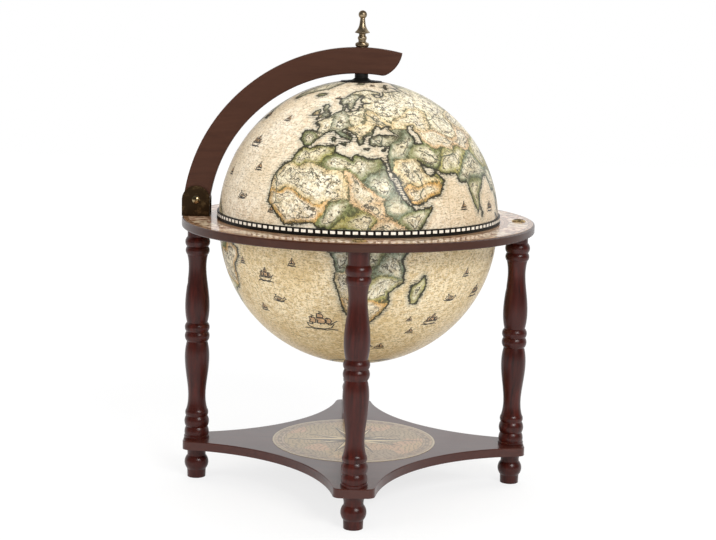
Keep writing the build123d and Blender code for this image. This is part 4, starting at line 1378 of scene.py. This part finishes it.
SHIPS: tuple[tuple[Motif, float, float, float], ...] = (
    (Motif.CARRACK, -39, 35, 1.2), (Motif.SLOOP, -27, 25, 1.2), (Motif.SLOOP, -50, 21, 1.1),
    (Motif.WHALE, -33, 13, 1.1), (Motif.SLOOP, -26, 48, 1.1), (Motif.CARRACK, -54, 48, 1.0),
    (Motif.SLOOP, -15, 9, 0.9), (Motif.SLOOP, 68, 11, 1.1), (Motif.CARRACK, 88, 9, 0.9),
    (Motif.SLOOP, 2, 63, 0.8), (Motif.SLOOP, 40, 76, 0.8), (Motif.CARRACK, -150, 30, 1.3),
    (Motif.SLOOP, 170, 22, 1.2), (Motif.WHALE, -172, 44, 1.1), (Motif.CARRACK, 155, 12, 1.1),
    (Motif.SLOOP, -128, 12, 1.2), (Motif.SLOOP, -65, 28, 0.9), (Motif.CARRACK, -19, -16, 1.3),
    (Motif.SLOOP, -5, -9, 1.1), (Motif.CARRACK, 4, -36, 2.2), (Motif.SLOOP, -26, -31, 1.3),
    (Motif.WHALE, -14, -25, 1.2), (Motif.SLOOP, -32, -11, 1.0), (Motif.WHALE, 25, -50, 1.5),
    (Motif.SLOOP, 36, -50, 1.4), (Motif.CARRACK, 60, -35, 1.3), (Motif.SLOOP, 50, -40, 1.1),
    (Motif.SLOOP, 72, -14, 1.2), (Motif.CARRACK, 85, -24, 1.2), (Motif.WHALE, 66, -24, 1.2),
    (Motif.SLOOP, 47, -33, 0.8), (Motif.SLOOP, 96, -9, 0.9), (Motif.CARRACK, -120, -20, 1.4),
    (Motif.SLOOP, -150, -35, 1.2), (Motif.WHALE, -105, -42, 1.3), (Motif.SLOOP, 165, -22, 1.1),
    (Motif.CARRACK, -95, -8, 1.2), (Motif.SLOOP, 105, -40, 1.2),
)


@dataclass(frozen=True)
class Engraver:
    """Draws motifs on a sphere as ink ribbons and flat fills, just proud of its skin."""

    centre_z: float
    radius: float
    pen: float = 0.5  # half the pen's width, in millimetres
    ink_lift: float = 0.26 * MM
    sail_lift: float = 0.2 * MM

    def ribbon(self, stroke: Stroke, half: float) -> tuple[np.ndarray, np.ndarray]:
        """Widen a stroke: each corner is offset both ways along the mean normal of its edges.

        Args:
            stroke: The stroke's corners.
            half: Half the ribbon's width.

        Returns:
            The ribbon's points and its quads.
        """
        line = np.array(stroke, float)
        run = np.gradient(line, axis=0)
        side = np.stack([-run[:, 1], run[:, 0]], axis=1)
        side /= np.maximum(np.linalg.norm(side, axis=1, keepdims=True), 1e-9)
        points = np.vstack([line - side * half, line + side * half])
        count = len(line)
        first = np.arange(count - 1)
        return points, np.stack([first, first + 1, first + 1 + count, first + count], axis=1)

    def wrap(self, flat: np.ndarray, longitude: float, latitude: float, lift: float) -> np.ndarray:
        """Lay flat points on the sphere: the outward way plus east and north steps, made a unit.

        Args:
            flat: Points of shape (n, 2), in millimetres to the east and north.
            longitude: Where their origin lies, in degrees east.
            latitude: Where their origin lies, in degrees north.
            lift: Their height over the shell, in metres.

        Returns:
            Points of shape (n, 3).
        """
        out = unit(longitude, latitude)
        east = np.cross([0, 0, 1], out)
        east /= np.linalg.norm(east)
        north = np.cross(out, east)
        way = out + (flat[:, :1] * east + flat[:, 1:] * north) * MM / self.radius
        way /= np.linalg.norm(way, axis=1, keepdims=True)
        return way * (self.radius + lift) + np.array([0, 0, self.centre_z])

    def draw(self, name: str, body: str, north: bool) -> None:
        """Make one mesh of ink and one of sails for the motifs on one half.

        Args:
            name: The start of the meshes' names.
            body: The body that they ride on.
            north: Whether the half is the northern one.
        """
        ink, ink_faces, fills, fill_faces = [], [], [], []
        ink_count = fill_count = 0
        for motif, longitude, latitude, size in SHIPS:
            if (latitude > 0) != north:
                continue
            strokes, sails = motif.value
            for stroke in (*strokes, *((*sail, sail[0]) for sail in sails)):
                sized = tuple((size * x, size * y) for x, y in stroke)
                points, quads = self.ribbon(sized, self.pen * size**0.5)
                ink.append(self.wrap(points, longitude, latitude, self.ink_lift))
                ink_faces += (quads + ink_count).tolist()
                ink_count += len(points)
            for sail in sails:
                points = size * np.array(sail, float)
                fills.append(self.wrap(points, longitude, latitude, self.sail_lift))
                fill_faces.append(list(range(fill_count, fill_count + len(points))))
                fill_count += len(points)
        for suffix, points, faces, tone in (
            ("ink", ink, ink_faces, "ink"), ("sails", fills, fill_faces, "sail_ink")
        ):
            made = mesh_object(f"{name}_{suffix}", np.vstack(points), faces, [finish(tone)])
            outward(made)
            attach(made, body)
            LOG.info("%s: %d faces", made.name, len(made.data.polygons))


def outward(piece: bpy.types.Object) -> None:
    """Turn a sheet's faces so that they all face away from the globe's middle.

    Args:
        piece: The sheet, which lies on the globe.
    """
    mesh = piece.data
    count = len(mesh.polygons)
    normals, middles = np.empty(3 * count), np.empty(3 * count)
    mesh.polygons.foreach_get("normal", normals)
    mesh.polygons.foreach_get("center", middles)
    away = middles.reshape(-1, 3) - np.array([0, 0, GLOBE_MIDDLE_Z])
    inward = (normals.reshape(-1, 3) * away).sum(1) < 0
    for index in np.nonzero(inward)[0]:
        mesh.polygons[int(index)].flip()
    mesh.update()


# ---------------------------------------------------------------- sub-assemblies


class Stand:
    """The four legs with their feet, the shelf, the ring and the papers on them."""

    def dress(self) -> None:
        """Stain and print the stand's CAD pieces."""
        dress(finish("leg"), *[f"leg_{side}" for side in SIDES], *[f"foot_{side}" for side in SIDES])
        dress(finish("ring"), "ring")
        dress(finish("shelf"), "shelf")
        dress(finish("ring_paper"), "ring_print")
        dress(finish("shelf_paper"), "shelf_print")
        dress(finish("cap_brass"), "ring_caps")
        dress(finish("steel"), "leg_studs", "leg_screws")


class Arm:
    """The curved board, its hinge and the finial and spindle at the pole."""

    def dress(self) -> None:
        """Stain the board and age the fittings."""
        dress(finish("board_x"), "meridian_arm")
        dress(finish("dark_brass"), "bracket", "bracket_screws")
        dress(finish("bolt_brass"), "pivot_bolt", "pivot_nut")
        dress(finish("old_brass"), "finial")
        dress(finish("bush"), "pivot_bush")
        dress(finish("nylon"), "pivot_washers")
        dress(finish("steel"), "spindle_bolt", "spindle_washer", "spindle_nut")
        dress(finish("black"), "pole_spacer")


@dataclass(frozen=True)
class Globe:
    """Both halves of the globe with their prints, linings and fittings."""

    dome: PrintedHalf = PrintedHalf(
        name="dome_skin", body="dome", slot="dome_map", centre_z=316.9 * MM, shell_r=165 * MM,
        low_z=327.52 * MM, high_z=479.78 * MM, paper=DOME_PAPER,
    )
    bowl: PrintedHalf = PrintedHalf(
        name="bowl_skin", body="stand", slot="bowl_map", centre_z=311.2 * MM, shell_r=164 * MM,
        low_z=147.0 * MM, high_z=318.8 * MM, paper=BOWL_PAPER,
    )

    def build(self) -> None:
        """Make the printed skins and the figures on them."""
        self.dome.build()
        self.bowl.build()
        Engraver(self.dome.centre_z, self.dome.shell_r).draw("dome_figures", "dome", True)
        Engraver(self.bowl.centre_z, self.bowl.shell_r).draw("bowl_figures", "stand", False)

    def dress(self) -> None:
        """Line the shells and finish the trims and the rack."""
        dress(finish("lining"), "dome_shell", "bowl_shell")
        dress(finish("band"), "dome_trim")
        dress(finish("black"), "bowl_collar", "pole_cap", "pole_hub")
        dress(finish("steel"), "hub_ring", "rack_screws")
        dress(finish("rack"), "rack_plate", "glass_floor", "bottle_seat")


# ---------------------------------------------------------------- studio


@dataclass(frozen=True)
class Camera:
    """Where the picture is taken from: a turn and a rise about the globe's axis, and a roll."""

    target: tuple[float, float, float] = (0.0, 0.0, AIM_Z)
    distance: float = 1.95514
    azimuth: float = -0.465
    elevation: float = 9.261
    aside: float = 0.000871
    lower: float = -0.022815
    roll: float = 1.244
    lens: float = 82.71

    def build(self) -> None:
        """Make the camera: back, right and up follow from the angles, then right and up roll."""
        turn, rise, roll = (math.radians(a) for a in (self.azimuth, self.elevation, self.roll))
        back = Vector((math.sin(turn) * math.cos(rise), -math.cos(turn) * math.cos(rise), math.sin(rise)))
        right = Vector((math.cos(turn), math.sin(turn), 0.0))
        up = back.cross(right)
        place = Vector(self.target) + back * self.distance + right * self.aside + up * self.lower
        right, up = (
            right * math.cos(roll) + up * math.sin(roll),
            up * math.cos(roll) - right * math.sin(roll),
        )
        data = bpy.data.cameras.new("camera")
        data.lens = self.lens
        data.sensor_width = 36.0
        made = bpy.data.objects.new("camera", data)
        bpy.context.scene.collection.objects.link(made)
        turned = Matrix((right, up, back)).transposed().to_4x4()
        made.matrix_world = Matrix.Translation(place) @ turned
        bpy.context.scene.camera = made


@dataclass(frozen=True)
class Lamp:
    """A soft box: its place, its size, its power and whether glossy surfaces mirror it."""

    name: str
    place: tuple[float, float, float]
    size: tuple[float, float]
    power: float
    mirrored: bool = False

    def build(self) -> None:
        """Make the lamp, aimed at the globe."""
        data = bpy.data.lights.new(self.name, "AREA")
        data.shape = "RECTANGLE"
        data.size, data.size_y = self.size
        data.energy = self.power
        made = bpy.data.objects.new(self.name, data)
        made.visible_glossy = self.mirrored
        bpy.context.scene.collection.objects.link(made)
        aim = Vector((0.0, 0.0, AIM_Z)) - Vector(self.place)
        turned = aim.to_track_quat("-Z", "Y").to_matrix().to_4x4()
        made.matrix_world = Matrix.Translation(Vector(self.place)) @ turned


@dataclass(frozen=True)
class Studio:
    """A white floor and background with soft boxes at each side and overhead."""

    lamps: tuple[Lamp, ...] = (
        Lamp("key_box", (1.1, -2.0, 1.7), (1.1, 0.9), 41.0, True),
        Lamp("left_box", (-1.9, -1.3, 1.0), (1.2, 1.6), 19.0),
        Lamp("front_box", (0.2, -2.4, 1.0), (1.6, 1.2), 15.0),
        Lamp("top_box", (0.1, 0.2, 2.2), (1.8, 1.8), 25.0),
    )
    front_sky: float = 0.1
    back_sky: float = 0.9
    sky_step: tuple[float, float] = (-0.2, 0.5)
    floor_half: float = 4.0
    floor_tone: Colour = (0.86, 0.86, 0.86)
    floor_glow: float = 1.04
    near_share: float = 0.74
    mirrored_share: float = 0.35
    shadow_fade: tuple[float, float] = (0.4, 0.95)

    def build(self) -> None:
        """Make the floor, the world and the lamps."""
        self.floor()
        self.world()
        for lamp in self.lamps:
            lamp.build()
        bpy.context.scene.view_settings.view_transform = "Standard"

    def floor(self) -> None:
        """Make the pale floor, which the camera sees nearly white with the object's shadow."""
        corners = self.floor_half * np.array([(-1, -1, 0), (1, -1, 0), (1, 1, 0), (-1, 1, 0)], float)
        g = Graph("studio_floor")
        diffuse = g.fill(g.node("ShaderNodeBsdfDiffuse"), Color=self.floor_tone)
        glow = g.fill(g.node("ShaderNodeEmission"), Strength=self.floor_glow)
        path = g.node("ShaderNodeLightPath")
        x, y, _ = g.split(g.place())
        away = g.smooth(g.length(x, y), *self.shadow_fade)
        seen = g.times(path.outputs["Is Camera Ray"], g.scaled(away, 1.0 - self.near_share, self.near_share))
        mirrored = g.times(path.outputs["Is Glossy Ray"], self.mirrored_share)
        blend = g.node("ShaderNodeMixShader")
        for index, value in enumerate((g.most(seen, mirrored), diffuse.outputs[0], glow.outputs[0])):
            g.put(blend.inputs[index], value)
        g.close(blend, "ShaderNodeOutputMaterial")
        floor = mesh_object("studio_floor", corners, [np.array([[0, 1, 2, 3]])], [g.owner])

    def world(self) -> None:
        """Make the world: white to the camera and behind the object, a soft grey in front."""
        g = Graph("studio", "worlds")
        path = g.node("ShaderNodeLightPath")
        seen = g.most(path.outputs["Is Camera Ray"], path.outputs["Is Transmission Ray"])
        depth = g.split(g.node("ShaderNodeTexCoord").outputs["Generated"])[1]
        sky = g.smooth(depth, *self.sky_step, self.front_sky, self.back_sky)
        light = g.fill(g.node("ShaderNodeBackground"), Color=(1.0, 1.0, 1.0), Strength=g.most(seen, sky))
        g.close(light, "ShaderNodeOutputWorld")
        bpy.context.scene.world = g.owner


def main() -> None:
    """Build the globe bar's looks in order, then the studio."""
    logging.basicConfig(level=logging.INFO, format="%(name)s %(message)s")
    globe = Globe()
    globe.build()
    for part in (Stand(), Arm(), globe):
        part.dress()
        LOG.info("dressed %s", type(part).__name__)
    Studio().build()
    Camera().build()


if __name__ == "__main__":
    main()
